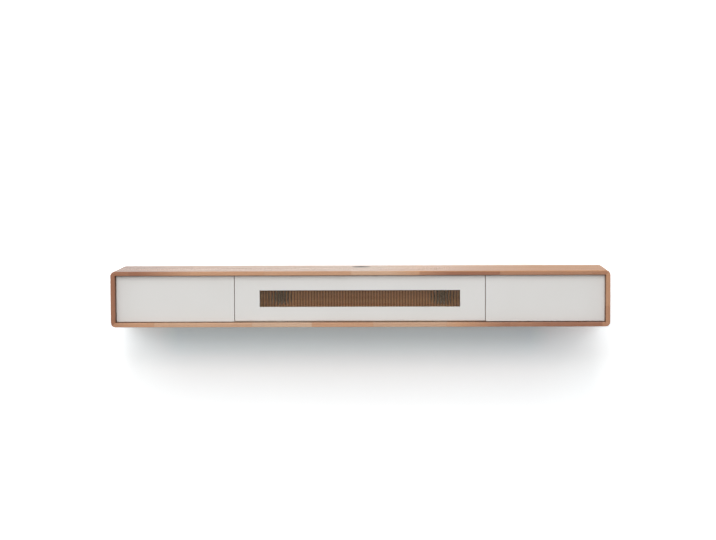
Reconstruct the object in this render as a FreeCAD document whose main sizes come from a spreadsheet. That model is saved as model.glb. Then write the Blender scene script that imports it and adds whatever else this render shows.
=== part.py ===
import FreeCAD, Part
import os
import Sketcher

# Wall-hung media console: a mitred solid-wood frame holding a drawer on each side and a
# drop-down glazed flap in the middle. +X right, -Y front, +Z up, millimetres. The origin is the
# middle of the wall bolt line, on the wall plane.

doc = FreeCAD.newDocument("floating_media_console")
dim = doc.addObject("Spreadsheet::Sheet", "dim")

SIZES = [
    # Frame of solid boards
    ("console_width", "1800"),
    ("console_depth", "300"),
    ("console_height", "202"),
    ("bolt_line_drop", "55"),
    ("board", "16"),
    ("corner_radius", "16"),
    ("outer_ease", "2.5"),
    ("inner_ease", "4"),
    # Fronts
    ("front_recess", "22"),
    ("front_thickness", "18"),
    ("frame_gap", "2"),
    ("front_gap", "2"),
    ("front_ease", "1.5"),
    ("flap_width", "904"),
    ("flap_corner_radius", "6"),
    # Dividers and back
    ("divider_thickness", "16"),
    ("divider_setback", "2"),
    ("rear_recess", "13"),
    ("back_thickness", "15"),
    # Joinery
    ("spline_thickness", "3"),
    ("spline_width", "10"),
    ("spline_inset", "9"),
    ("spline_stop", "20"),
    ("spline_clearance", "0.2"),
    ("dowel_radius", "4"),
    ("dowel_length", "28"),
    ("dowel_in_board", "10"),
    ("dowel_margin", "40"),
    ("back_dowel_near", "150"),
    ("back_dowel_end", "140"),
    # Wall fixing
    ("cleat_length", "1400"),
    ("cleat_metal", "3"),
    ("hook_gap", "0.3"),
    ("wall_flange_below_bolts", "20"),
    ("step_above_bolts", "20"),
    ("lip_height", "13"),
    ("lip_clearance", "1"),
    ("cabinet_flange_height", "41"),
    ("wall_bolt_radius", "3.5"),
    ("bolt_near", "200"),
    ("bolt_far", "600"),
    ("cleat_screw_near", "100"),
    ("cleat_screw_end", "60"),
    ("batten_length", "1600"),
    ("batten_height", "40"),
    ("batten_lift", "5"),
    ("batten_screw_near", "180"),
    ("batten_screw_end", "70"),
    # Screws
    ("screw_head_radius", "3.6"),
    ("screw_head_height", "1.5"),
    ("screw_radius", "1.9"),
    ("short_screw", "12"),
    ("long_screw", "25"),
    # Cable ports
    ("grommet_from_wall", "70"),
    ("grommet_bore_radius", "28"),
    ("grommet_wall", "2"),
    ("grommet_flange_width", "4"),
    ("grommet_flange_thickness", "2"),
    ("grommet_set_down", "0.2"),
    ("grommet_tail", "4"),
    ("grommet_ledge_width", "3"),
    ("grommet_ledge_thickness", "2"),
    ("grommet_clearance", "0.2"),
    ("cap_thickness", "3"),
    ("cap_radial_clearance", "0.1"),
    ("cap_lift", "0.3"),
    ("cap_notch_width", "14"),
    ("cap_notch_reach", "15"),
    ("back_port_offset", "300"),
    ("back_port_height", "71"),
    ("back_port_radius", "22"),
    ("back_port_wall", "3"),
    ("back_port_flange_width", "4"),
    ("back_port_flange_thickness", "2"),
    # Drawer boxes
    ("drawer_depth", "225"),
    ("drawer_height", "120"),
    ("drawer_floor_gap", "15"),
    ("drawer_side", "12"),
    ("drawer_bottom", "5"),
    ("groove_lift", "10"),
    ("groove_depth", "5"),
    ("groove_clearance", "0.5"),
    ("drawer_dowel_radius", "3"),
    ("drawer_dowel_length", "22"),
    ("drawer_dowel_in_side", "8"),
    ("drawer_dowel_margin", "32"),
    ("front_screw_inset", "55"),
    ("front_screw_margin", "30"),
    # Drawer runners
    ("runner_width", "12.7"),
    ("runner_length", "225"),
    ("runner_height", "45"),
    ("runner_lift", "73"),
    ("runner_screw_inset", "30"),
    ("drawer_member_screw_inset", "24"),
    ("outer_member_metal", "1.5"),
    ("outer_member_reach", "11"),
    ("middle_member_back", "3.1"),
    ("middle_member_reach", "10.5"),
    ("inner_member_reach", "6.4"),
    ("sliding_member_metal", "1.2"),
    ("ball_radius", "1.6"),
    ("ball_clearance", "0.1"),
    ("cage_metal", "0.6"),
    ("cage_gap", "0.4"),
    ("cage_length", "110"),
    ("cage_inset", "58"),
    ("outer_cage_reach", "8.5"),
    ("inner_cage_reach", "9.3"),
    ("outer_ball_line", "6"),
    ("inner_ball_line", "7.7"),
    ("ball_end", "10"),
    # Glazing
    ("stile_width", "90"),
    ("rail_width", "53"),
    ("rebate", "9"),
    ("glass_lip", "7"),
    ("glass_thickness", "5"),
    ("glass_clearance", "1"),
    # Flap pivots
    ("pivot_plate", "3"),
    ("pivot_tip_radius", "5"),
    ("pivot_slot_clearance", "1"),
    ("pivot_side_clearance", "0.5"),
    ("pivot_pin_radius", "2"),
    ("pivot_pin_length", "14"),
    ("pivot_pin_inset", "1.5"),
    ("running_clearance", "0.05"),
    ("pivot_base_depth", "26"),
    ("pivot_base_height", "28"),
    ("pivot_screw_margin", "7"),
    # Flap stays: bracket pivot from the flap axis, then stay pivot from the flap axis
    ("bracket_pivot_back", "17"),
    ("bracket_pivot_up", "95"),
    ("stay_pivot_back", "110"),
    ("stay_pivot_up", "12"),
    ("stay_thickness", "12"),
    ("stay_body_front", "30"),
    ("stay_body_rear", "55"),
    ("stay_body_below", "13"),
    ("stay_body_above", "22"),
    ("stay_body_radius", "9"),
    ("stay_screw_back", "40"),
    ("stay_screw_front", "18"),
    ("strap_gap", "1"),
    ("strap_metal", "2.5"),
    ("arm_half_width", "7"),
    ("link_half_width", "6"),
    ("arm_pin_radius", "3"),
    ("bracket_pin_radius", "2.5"),
    ("pin_proud", "0.5"),
    ("pin_sunk", "6"),
    ("bracket_foot_width", "30"),
    ("bracket_foot_height", "30"),
    ("bracket_metal", "2.5"),
    ("bracket_screw_margin", "8"),
    # Push-to-open latches
    ("latch_width", "16"),
    ("latch_height", "14"),
    ("latch_length", "52"),
    ("latch_setback", "6"),
    ("latch_flange_width", "36"),
    ("latch_flange_length", "20"),
    ("latch_flange_thickness", "2.5"),
    ("latch_flange_inset", "16"),
    ("latch_screw_offset", "13"),
    ("latch_bore_depth", "49"),
    ("flap_latch_inset", "65"),
    ("plunger_radius", "3"),
    ("plunger_length", "46"),
    ("plunger_clearance", "0.1"),
    ("plunger_tip_radius", "4"),
    ("plunger_tip_length", "2.5"),
    ("plunger_rest_gap", "0.4"),
]

# How many balls stand in one row of a cage, and the two sides of the console.
BALLS_PER_ROW = 6
SIDES = (("left", "-1"), ("right", "1"))

for row, (alias, value) in enumerate(SIZES, start=1):
    dim.set(f"A{row}", alias)
    dim.set(f"B{row}", value)
    dim.setAlias(f"B{row}", alias)
doc.recompute()

X, Y, Z = FreeCAD.Vector(1, 0, 0), FreeCAD.Vector(0, 1, 0), FreeCAD.Vector(0, 0, 1)
FLUSH = 1e-4

# ---------------------------------------------------------------- places, as formulas
top = "dim.bolt_line_drop"
bottom = "(dim.bolt_line_drop - dim.console_height)"
half_width = "(dim.console_width / 2)"
inner_top = f"({top} - dim.board)"
inner_bottom = f"({bottom} + dim.board)"
inner_side = f"({half_width} - dim.board)"

front_face = "(dim.front_recess - dim.console_depth)"
front_back = f"({front_face} + dim.front_thickness)"
front_low = f"({inner_bottom} + dim.frame_gap)"
front_high = f"({inner_top} - dim.frame_gap)"
divider_centre = "((dim.flap_width + dim.front_gap) / 2)"
divider_inner = f"({divider_centre} - dim.divider_thickness / 2)"
divider_outer = f"({divider_centre} + dim.divider_thickness / 2)"
divider_front = f"({front_back} + dim.divider_setback)"
back_rear = "(-dim.rear_recess)"
back_front = "(-dim.rear_recess - dim.back_thickness)"

bay_centre = f"(({inner_side} + {divider_outer}) / 2)"
bay_half = f"(({inner_side} - {divider_outer}) / 2)"
drawer_front_inner = f"({divider_centre} + dim.front_gap / 2)"
drawer_front_outer = f"({inner_side} - dim.frame_gap)"
drawer_half = f"({bay_half} - dim.runner_width)"
drawer_low = f"({inner_bottom} + dim.drawer_floor_gap)"
drawer_high = f"({drawer_low} + dim.drawer_height)"
drawer_rear = f"({front_back} + dim.drawer_depth)"
runner_middle = f"({inner_bottom} + dim.runner_lift)"

hinge_y = f"({front_face} + dim.front_thickness / 2)"
hinge_z = f"({front_low} + dim.front_thickness / 2)"
stay_y = f"({hinge_y} + dim.stay_pivot_back)"
stay_z = f"({hinge_z} + dim.stay_pivot_up)"
bracket_y = f"({hinge_y} + dim.bracket_pivot_back)"
bracket_z = f"({hinge_z} + dim.bracket_pivot_up)"
crank_y = f"({stay_y} + dim.bracket_pivot_back)"
crank_z = f"({stay_z} + dim.bracket_pivot_up)"
stay_inner = f"({divider_inner} - dim.stay_thickness)"
arm_outer = f"({stay_inner} - dim.strap_gap)"
arm_inner = f"({arm_outer} - dim.strap_metal)"
link_outer = f"({arm_inner} - dim.strap_gap)"
link_inner = f"({link_outer} - dim.strap_metal)"
ear_outer = f"({link_inner} - dim.strap_gap)"
ear_inner = f"({ear_outer} - dim.bracket_metal)"


# ---------------------------------------------------------------- ways of making shapes
def number(formula):
    """Plain value of a formula, to draw a sketch near its final place."""
    return float(dim.evalExpression(formula))


def place(thing, x="0", y="0", z="0", turn=None):
    """Put a piece where the formulas say, turned by a plain rotation."""
    if turn is not None:
        thing.Placement = FreeCAD.Placement(FreeCAD.Vector(), turn)
    for axis, formula in zip("xyz", (x, y, z)):
        thing.setExpression(f"Placement.Base.{axis}", formula)
    return thing


def box(name, x, y, z):
    """Block between a low and a high formula along each axis."""
    block = doc.addObject("Part::Box", name)
    spans = zip(("Length", "Width", "Height"), (x, y, z))
    for size, (low, high) in spans:
        block.setExpression(size, f"({high}) - ({low})")
    return place(block, x[0], y[0], z[0])


def rod(name, axis, radius, centre, span):
    """Cylinder along an axis, with its centre in the other two axes."""
    cylinder = doc.addObject("Part::Cylinder", name)
    cylinder.setExpression("Radius", radius)
    cylinder.setExpression("Height", f"({span[1]}) - ({span[0]})")
    if axis == X:
        return place(cylinder, span[0], *centre, FreeCAD.Rotation(Z, X))
    if axis == Y:
        return place(cylinder, centre[0], span[0], centre[1], FreeCAD.Rotation(Z, Y))
    return place(cylinder, *centre, span[0])


def group(name, parts):
    compound = doc.addObject("Part::Compound", name)
    compound.Links = parts
    return compound


def copy_of(source, name, x, y, z, turn=None):
    return place(group(name, [source]), x, y, z, turn)


def mirrored(source):
    """The same piece on the other side of x = 0."""
    mirror = doc.addObject("Part::Mirroring", f"{source.Name}_mirrored")
    mirror.Source = source
    mirror.Normal = X
    return mirror


def pair(name, source):
    return group(name, [source, mirrored(source)])


def fuse(name, parts):
    fusion = doc.addObject("Part::MultiFuse", name)
    fusion.Shapes = parts
    return fusion


def cut(name, base, tools):
    difference = doc.addObject("Part::Cut", name)
    difference.Base = base
    difference.Tool = tools[0] if len(tools) == 1 else group(f"{name}_tools", tools)
    return difference


def shared(name, base, tool):
    overlap = doc.addObject("Part::Common", name)
    overlap.Base = base
    overlap.Tool = tool
    return overlap


def new_body(name):
    return doc.addObject("PartDesign::Body", name)


def sketch_on(body, role):
    """Empty sketch on one of the body's own origin planes."""
    sketch = body.newObject("Sketcher::SketchObject", f"{body.Name}_sketch")
    plane = next(p for p in body.Origin.OriginFeatures if p.Role == role)
    sketch.AttachmentSupport = [(plane, "")]
    sketch.MapMode = "FlatFace"
    return sketch


def pin_point(sketch, geometry, end, u, v):
    """Tie one point of the sketch to formulas for its two coordinates."""
    for kind, formula in (("DistanceX", u), ("DistanceY", v)):
        index = sketch.addConstraint(
            Sketcher.Constraint(kind, -1, 1, geometry, end, number(formula))
        )
        sketch.setExpression(f"Constraints[{index}]", formula)


def polygon(sketch, corners):
    """Closed outline through corners, each a pair of formulas."""
    first = sketch.GeometryCount
    points = [FreeCAD.Vector(number(u), number(v), 0) for u, v in corners]
    for start, end in zip(points, points[1:] + points[:1]):
        sketch.addGeometry(Part.LineSegment(start, end))
    for i, (u, v) in enumerate(corners):
        before = first + (i - 1) % len(corners)
        sketch.addConstraint(Sketcher.Constraint("Coincident", before, 2, first + i, 1))
        pin_point(sketch, first + i, 1, u, v)


def rectangle(sketch, u, v):
    polygon(sketch, [(u[0], v[0]), (u[1], v[0]), (u[1], v[1]), (u[0], v[1])])


def circle(sketch, u, v, radius):
    place_vector = FreeCAD.Vector(number(u), number(v), 0)
    geometry = sketch.addGeometry(Part.Circle(place_vector, Z, number(radius)))
    pin_point(sketch, geometry, 3, u, v)
    index = sketch.addConstraint(Sketcher.Constraint("Radius", geometry, number(radius)))
    sketch.setExpression(f"Constraints[{index}]", radius)


def pad(body, sketch, length):
    feature = body.newObject("PartDesign::Pad", f"{body.Name}_pad")
    feature.Profile = sketch
    feature.setExpression("Length", length)
    doc.recompute()
    return feature


def pocket(body, sketch, length):
    """Cut forward, to -Y, from a sketch on the body's XZ plane."""
    before = body.Tip.Shape.Volume
    feature = body.newObject("PartDesign::Pocket", f"{body.Name}_pocket")
    feature.Profile = sketch
    feature.Reversed = True
    feature.setExpression("Length", length)
    doc.recompute()
    if feature.Shape.Volume >= before:
        raise RuntimeError(f"{feature.Name} removes nothing")
    return feature


def fillet(body, radius, chosen):
    """Round the edges of the body's tip that the test chooses."""
    base = body.Tip
    whole = FreeCAD.BoundBox()
    for corner in base.Shape.Vertexes:
        whole.add(corner.Point)
    edges = enumerate(base.Shape.Edges, start=1)
    names = [f"Edge{i}" for i, edge in edges if chosen(edge.BoundBox, whole)]
    feature = body.newObject("PartDesign::Fillet", f"{body.Name}_fillet")
    feature.Base = (base, names)
    feature.setExpression("Radius", radius)
    doc.recompute()
    return feature


def prism(name, role, corners, length):
    """Body padded from one outline."""
    body = new_body(name)
    sketch = sketch_on(body, role)
    polygon(sketch, corners)
    pad(body, sketch, length)
    return body


def in_front_plane(edge, whole):
    return edge.YMax < whole.YMin + FLUSH


def along_y(edge, whole):
    return edge.XLength < FLUSH and edge.ZLength < FLUSH


def around_opening(x, z):
    """Test for the front edges of an opening with the given spans of formulas."""
    def on_rim(edge, whole):
        across = number(x[0]) - FLUSH < edge.XMin and edge.XMax < number(x[1]) + FLUSH
        upright = number(z[0]) - FLUSH < edge.ZMin and edge.ZMax < number(z[1]) + FLUSH
        return in_front_plane(edge, whole) and across and upright
    return on_rim


nodes = []


def node(label, thing):
    """Name a finished sub-part and list it for export."""
    thing.Label = label
    nodes.append(thing)
    return thing


# ---------------------------------------------------------------- fasteners
def screw_shape(name, length):
    """Countersunk screw pointing along +Z, its head face at z = 0."""
    head = doc.addObject("Part::Cone", f"{name}_head")
    head.setExpression("Radius1", "dim.screw_head_radius")
    head.setExpression("Radius2", "dim.screw_radius")
    head.setExpression("Height", "dim.screw_head_height")
    shank = rod(f"{name}_shank", Z, "dim.screw_radius", ("0", "0"), ("0", length))
    return fuse(name, [head, shank])


short_screw = screw_shape("short_screw", "dim.short_screw")
long_screw = screw_shape("long_screw", "dim.long_screw")


def screws(name, source, pointing, places):
    """Copies of one screw, head faces at the places, all pointing the same way."""
    turn = FreeCAD.Rotation(Z, pointing)
    copies = [copy_of(source, f"{name}_{i}", *where, turn) for i, where in enumerate(places)]
    return group(name, copies)


# ---------------------------------------------------------------- frame of mitred boards
def rounded_frame():
    """The glued-up frame: rounded outside corners and eased front edges."""
    body = new_body("rounded_frame")
    outline = sketch_on(body, "XZ_Plane")
    rectangle(outline, (f"-{half_width}", half_width), (bottom, top))
    pad(body, outline, "dim.console_depth")
    fillet(body, "dim.corner_radius", along_y)
    fillet(body, "dim.outer_ease", in_front_plane)
    opening = (f"-{inner_side}", inner_side), (inner_bottom, inner_top)
    hollow = sketch_on(body, "XZ_Plane")
    rectangle(hollow, *opening)
    pocket(body, hollow, "dim.console_depth")
    fillet(body, "dim.inner_ease", around_opening(*opening))
    return body


def mitre_zones():
    """The four prisms that the mitres divide the frame into."""
    outer = {"left": f"-{half_width}", "right": half_width}
    inner = {"left": f"-{inner_side}", "right": inner_side}
    flat = {
        name: [(outer["left"], edge), (outer["right"], edge),
               (inner["right"], face), (inner["left"], face)]
        for name, edge, face in (("top", top, inner_top), ("bottom", bottom, inner_bottom))
    }
    upright = {
        name: [(outer[name], bottom), (outer[name], top),
               (inner[name], inner_top), (inner[name], inner_bottom)]
        for name, _ in SIDES
    }
    return {
        name: prism(f"{name}_mitre_zone", "XZ_Plane", corners, "dim.console_depth")
        for name, corners in {**flat, **upright}.items()
    }


def corner_keys(name, spare):
    """Loose tongues across the four mitres, or their grooves where spare is given."""
    width = f"(dim.spline_width / 2 + {spare})"
    key = box(
        f"{name}_key",
        (f"-{width}", width),
        (f"dim.spline_stop - dim.console_depth - {spare}", f"-dim.spline_stop + {spare}"),
        ("-dim.spline_thickness / 2", "dim.spline_thickness / 2"),
    )
    across = f"({inner_side} + dim.spline_inset / sqrt(2))"
    upper = f"({inner_top} + dim.spline_inset / sqrt(2))"
    lower = f"({inner_bottom} - dim.spline_inset / sqrt(2))"
    corners = ((across, upper), (across, lower), (f"-{across}", lower), (f"-{across}", upper))
    keys = [
        copy_of(key, f"{name}_{i}", x, "0", z, FreeCAD.Rotation(Y, 45 + 90 * i))
        for i, (x, z) in enumerate(corners)
    ]
    return group(name, keys)


def dowels():
    """Dowels that tie the dividers and the back to the top and bottom boards."""
    divider_rows = [
        (f"{sign} * {divider_centre}", y)
        for _, sign in SIDES
        for y in (f"{divider_front} + dim.dowel_margin", f"{back_front} - dim.dowel_margin")
    ]
    back_middle = f"({back_rear} - dim.back_thickness / 2)"
    back_rows = [
        (f"{sign} * {x}", back_middle)
        for _, sign in SIDES
        for x in ("dim.back_dowel_near", f"({inner_side} - dim.back_dowel_end)")
    ]
    up = (f"{inner_top} + dim.dowel_in_board - dim.dowel_length",
          f"{inner_top} + dim.dowel_in_board")
    down = (f"{inner_bottom} - dim.dowel_in_board",
            f"{inner_bottom} - dim.dowel_in_board + dim.dowel_length")
    pins = [
        rod(f"dowel_{i}_{end}", Z, "dim.dowel_radius", where, span)
        for i, where in enumerate(divider_rows + back_rows)
        for end, span in (("upper", up), ("lower", down))
    ]
    return group("dowels", pins)


# ---------------------------------------------------------------- cable ports
def ring(name, profile):
    """Turned piece from an outline of radius and height formulas."""
    body = new_body(name)
    sketch = sketch_on(body, "XZ_Plane")
    polygon(sketch, profile)
    feature = body.newObject("PartDesign::Revolution", f"{name}_turned")
    feature.Profile = sketch
    feature.ReferenceAxis = (sketch, ["V_Axis"])
    feature.Angle = 360
    return body


grommet_y = "(-dim.grommet_from_wall)"
grommet_bore = "dim.grommet_bore_radius"
grommet_sleeve = "(dim.grommet_bore_radius + dim.grommet_wall)"
grommet_flange = f"({grommet_sleeve} + dim.grommet_flange_width)"
grommet_top = "(-dim.grommet_set_down)"
grommet_seat = f"({grommet_top} - dim.grommet_flange_thickness)"
grommet_ledge = f"({grommet_top} - dim.cap_thickness - dim.cap_lift)"
grommet_foot = "(-dim.board - dim.grommet_tail)"


def grommet_liner():
    ledge_radius = f"({grommet_bore} - dim.grommet_ledge_width)"
    ledge_foot = f"({grommet_ledge} - dim.grommet_ledge_thickness)"
    liner = ring("grommet_liner", [
        (grommet_bore, grommet_top),
        (grommet_flange, grommet_top),
        (grommet_flange, grommet_seat),
        (grommet_sleeve, grommet_seat),
        (grommet_sleeve, grommet_foot),
        (grommet_bore, grommet_foot),
        (grommet_bore, ledge_foot),
        (ledge_radius, ledge_foot),
        (ledge_radius, grommet_ledge),
        (grommet_bore, grommet_ledge),
    ])
    return place(liner, "0", grommet_y, top)


def grommet_hole():
    """Stepped hole in the top board for the liner and its flange."""
    through = rod(
        "grommet_through", Z, f"{grommet_sleeve} + dim.grommet_clearance",
        ("0", grommet_y), (f"{inner_top} - 1", f"{top} + 1"),
    )
    seat = rod(
        "grommet_seat", Z, f"{grommet_flange} + dim.grommet_clearance",
        ("0", grommet_y), (f"{top} + {grommet_seat}", f"{top} + 1"),
    )
    return fuse("grommet_hole", [through, seat])


def grommet_cap():
    """Disc with a cable notch, turning in the liner on its ledge."""
    radius = f"{grommet_bore} - dim.cap_radial_clearance"
    low = f"{top} + {grommet_top} - dim.cap_thickness"
    disc = rod("cap_disc", Z, radius, ("0", grommet_y), (low, f"{top} + {grommet_top}"))
    notch = box(
        "cap_notch",
        ("-dim.cap_notch_width / 2", "dim.cap_notch_width / 2"),
        (f"{grommet_y} + {grommet_bore} - dim.cap_notch_reach", f"{grommet_y} + {grommet_bore}"),
        (f"{low} - 1", f"{top} + 1"),
    )
    return cut("grommet_cap", disc, [notch])


port_z = f"({inner_bottom} + dim.back_port_height)"
port_outer = "(dim.back_port_radius + dim.back_port_wall)"


def cable_liner():
    """Flanged sleeve through the back, its flange inside the bay."""
    flange = f"({port_outer} + dim.back_port_flange_width)"
    liner = ring("cable_liner", [
        ("dim.back_port_radius", "0"),
        (port_outer, "0"),
        (port_outer, "dim.back_thickness"),
        (flange, "dim.back_thickness"),
        (flange, "dim.back_thickness + dim.back_port_flange_thickness"),
        ("dim.back_port_radius", "dim.back_thickness + dim.back_port_flange_thickness"),
    ])
    return place(liner, "dim.back_port_offset", back_rear, port_z, FreeCAD.Rotation(X, 90))


def port_hole():
    return rod(
        "port_hole", Y, port_outer, ("dim.back_port_offset", port_z),
        (f"{back_front} - 1", f"{back_rear} + 1"),
    )


# ---------------------------------------------------------------- wall fixing
hook_rear = "(-dim.cleat_metal - dim.hook_gap)"
hook_front = f"({hook_rear} - dim.cleat_metal)"
lip_rear = f"({hook_front} - dim.hook_gap)"
lip_front = f"({lip_rear} - dim.cleat_metal)"
lip_top = "(dim.step_above_bolts + dim.lip_height)"


def wall_cleat():
    """Rail bolted to the wall, its lip standing up to carry the console."""
    step_under = "(dim.step_above_bolts - dim.cleat_metal)"
    body = prism("wall_rail", "YZ_Plane", [
        ("0", "-dim.wall_flange_below_bolts"),
        ("0", "dim.step_above_bolts"),
        (lip_rear, "dim.step_above_bolts"),
        (lip_rear, lip_top),
        (lip_front, lip_top),
        (lip_front, step_under),
        ("-dim.cleat_metal", step_under),
        ("-dim.cleat_metal", "-dim.wall_flange_below_bolts"),
    ], "dim.cleat_length")
    holes = sketch_on(body, "XZ_Plane")
    for sign in ("-1", "1"):
        for bolt in ("dim.bolt_near", "dim.bolt_far"):
            circle(holes, f"dim.cleat_length / 2 + {sign} * {bolt}", "0", "dim.wall_bolt_radius")
    pocket(body, holes, "dim.cleat_metal")
    return place(body, "-dim.cleat_length / 2")


def cabinet_cleat():
    """Rail on the console's back, its lip hanging behind the wall rail's."""
    flange_rear = f"({back_rear} + dim.cleat_metal)"
    rail_top = f"({lip_top} + dim.cleat_metal)"
    flange_foot = f"({rail_top} - dim.cabinet_flange_height)"
    hook_foot = "(dim.step_above_bolts + dim.lip_clearance)"
    body = prism("cabinet_rail", "YZ_Plane", [
        (back_rear, flange_foot),
        (flange_rear, flange_foot),
        (flange_rear, lip_top),
        (hook_front, lip_top),
        (hook_front, hook_foot),
        (hook_rear, hook_foot),
        (hook_rear, rail_top),
        (back_rear, rail_top),
    ], "dim.cleat_length")
    return place(body, "-dim.cleat_length / 2")


def cleat_screws():
    z = f"{lip_top} + dim.cleat_metal - dim.cabinet_flange_height * 3 / 4"
    places = [
        (f"{sign} * {x}", f"{back_rear} + dim.cleat_metal", z)
        for _, sign in SIDES
        for x in ("dim.cleat_screw_near", "(dim.cleat_length / 2 - dim.cleat_screw_end)")
    ]
    return screws("cleat_screws", short_screw, -Y, places)


batten_low = f"({inner_bottom} + dim.batten_lift)"
batten_high = f"({batten_low} + dim.batten_height)"


def batten_screws():
    places = [
        (f"{sign} * {x}", back_front, f"({batten_low} + {batten_high}) / 2")
        for _, sign in SIDES
        for x in ("dim.batten_screw_near", "(dim.batten_length / 2 - dim.batten_screw_end)")
    ]
    return screws("batten_screws", long_screw, Y, places)


# ---------------------------------------------------------------- drawer runners
# Drawn in a bay's own frame, x = 0 in the middle of the bay, for the runner on its left.
runner_wall = f"(-{bay_half})"
outer_half = "(dim.runner_height / 2)"
race = "(2 * dim.ball_radius + 2 * dim.ball_clearance)"
middle_half = f"({outer_half} - dim.outer_member_metal - {race})"
inner_half = f"({middle_half} - dim.sliding_member_metal - {race})"
outer_ball_z = f"({middle_half} + {race} / 2)"
inner_ball_z = f"({inner_half} + {race} / 2)"
cage_front = f"({divider_front} + dim.cage_inset)"


def channel(name, web_back, web_face, tip, half, metal, front, length):
    """C-section rail along Y, from its front end to the rear."""
    body = prism(name, "XZ_Plane", [
        (web_back, f"-{half}"),
        (tip, f"-{half}"),
        (tip, f"-{half} + {metal}"),
        (web_face, f"-{half} + {metal}"),
        (web_face, f"{half} - {metal}"),
        (tip, f"{half} - {metal}"),
        (tip, half),
        (web_back, half),
    ], length)
    return place(body, "0", f"{front} + {length}", runner_middle)


def ball_cage(name, web, tip, ball_x, ball_z):
    """Retainer of a double row of balls that roll between two members."""
    half = f"({ball_z} + dim.cage_metal / 2)"
    retainer = channel(
        f"{name}_retainer", web, f"({web} + dim.cage_metal)", tip,
        half, "dim.cage_metal", cage_front, "dim.cage_length",
    )
    pitch = f"((dim.cage_length - 2 * dim.ball_end) / {BALLS_PER_ROW - 1})"
    balls = []
    for i in range(BALLS_PER_ROW):
        for sign in ("-1", "1"):
            ball = doc.addObject("Part::Sphere", f"{name}_ball")
            ball.setExpression("Radius", "dim.ball_radius")
            y = f"{cage_front} + dim.ball_end + {i} * {pitch}"
            balls.append(place(ball, ball_x, y, f"{runner_middle} + {sign} * {ball_z}"))
    return fuse(name, [retainer] + balls)


def runner_members():
    """The five kinds of piece in the runner on a bay's left."""
    metal = "dim.sliding_member_metal"
    outer = channel(
        "outer_member", runner_wall, f"({runner_wall} + dim.outer_member_metal)",
        f"({runner_wall} + dim.outer_member_reach)", outer_half, "dim.outer_member_metal",
        divider_front, "dim.runner_length",
    )
    middle_back = f"({runner_wall} + dim.middle_member_back)"
    middle = channel(
        "middle_member", middle_back, f"({middle_back} + {metal})",
        f"({runner_wall} + dim.middle_member_reach)", middle_half, metal,
        divider_front, "dim.runner_length",
    )
    drawer_wall = f"(-{drawer_half})"
    inner = channel(
        "inner_member", drawer_wall, f"({drawer_wall} - {metal})",
        f"({drawer_wall} - dim.inner_member_reach)", inner_half, metal,
        divider_front, "dim.runner_length",
    )
    outer_cage = ball_cage(
        "outer_cage", f"({runner_wall} + dim.outer_member_metal + dim.cage_gap)",
        f"({runner_wall} + dim.outer_cage_reach)", f"{runner_wall} + dim.outer_ball_line",
        outer_ball_z,
    )
    inner_cage = ball_cage(
        "inner_cage", f"({middle_back} + {metal} + dim.cage_gap)",
        f"({runner_wall} + dim.inner_cage_reach)", f"{runner_wall} + dim.inner_ball_line",
        inner_ball_z,
    )
    return {
        "runner_outer_members": cut("outer_drilled", outer, [left_runner_screws]),
        "runner_middle_members": middle,
        "runner_inner_members": inner,
        "outer_ball_cages": outer_cage,
        "inner_ball_cages": inner_cage,
    }


def member_screws(name, x, pointing, inset):
    """Two screws through a member's web, a given inset from the member's ends."""
    return screws(name, short_screw, pointing, [
        (x, f"{divider_front} + {inset}", runner_middle),
        (x, f"{divider_front} + dim.runner_length - {inset}", runner_middle),
    ])


# ---------------------------------------------------------------- drawers
def drawer_box():
    """Pieces of one drawer box, in the frame of its bay."""
    inner_half_width = f"({drawer_half} - dim.drawer_side)"
    inner_front_rear = f"({front_back} + dim.drawer_side)"
    back_face = f"({drawer_rear} - dim.drawer_side)"
    floor = f"({drawer_low} + dim.groove_lift)"
    height = (drawer_low, drawer_high)
    span = (f"-{inner_half_width}", inner_half_width)

    def floor_box(name, reach):
        return box(
            name,
            (f"-{inner_half_width} - {reach}", f"{inner_half_width} + {reach}"),
            (f"{inner_front_rear} - {reach}", f"{back_face} + {reach}"),
            (floor, f"{floor} + dim.drawer_bottom"),
        )

    groove = floor_box("drawer_groove", "dim.groove_depth")
    panel = floor_box("drawer_floor", "(dim.groove_depth - dim.groove_clearance)")

    rows = (f"{drawer_low} + dim.drawer_dowel_margin", f"{drawer_high} - dim.drawer_dowel_margin")
    lines = (f"{front_back} + dim.drawer_side / 2", f"{drawer_rear} - dim.drawer_side / 2")
    dowel_tip = f"{drawer_half} - dim.drawer_side + dim.drawer_dowel_in_side"
    right_pins = group("drawer_right_pins", [
        rod(f"drawer_pin_{i}_{j}", X, "dim.drawer_dowel_radius", (y, z),
            (f"{dowel_tip} - dim.drawer_dowel_length", dowel_tip))
        for i, y in enumerate(lines)
        for j, z in enumerate(rows)
    ])
    pins = pair("drawer_pins", right_pins)

    front_screws = screws("drawer_front_screws", long_screw, -Y, [
        (f"{sign} * ({inner_half_width} - dim.front_screw_inset)", inner_front_rear, z)
        for _, sign in SIDES
        for z in (f"{drawer_low} + dim.front_screw_margin",
                  f"{drawer_high} - dim.front_screw_margin")
    ])
    side_screws = pair("drawer_side_screws", member_screws(
        "drawer_left_side_screws", f"-{drawer_half} - dim.sliding_member_metal", X,
        "dim.drawer_member_screw_inset",
    ))

    side = box(
        "drawer_side_blank", (inner_half_width, drawer_half), (front_back, drawer_rear), height
    )
    inner_front = box("drawer_inner_front_blank", span, (front_back, inner_front_rear), height)
    back = box("drawer_back_blank", span, (back_face, drawer_rear), height)
    right = cut("drawer_right_side", side, [groove, pins, side_screws])
    return {
        "left_side": mirrored(right),
        "right_side": right,
        "inner_front": cut("drawer_inner_front", inner_front, [groove, pins, front_screws]),
        "back": cut("drawer_back", back, [groove, pins]),
        "bottom": panel,
        "dowels": pins,
        "screws": group("drawer_screws", [front_screws, side_screws]),
    }


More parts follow.
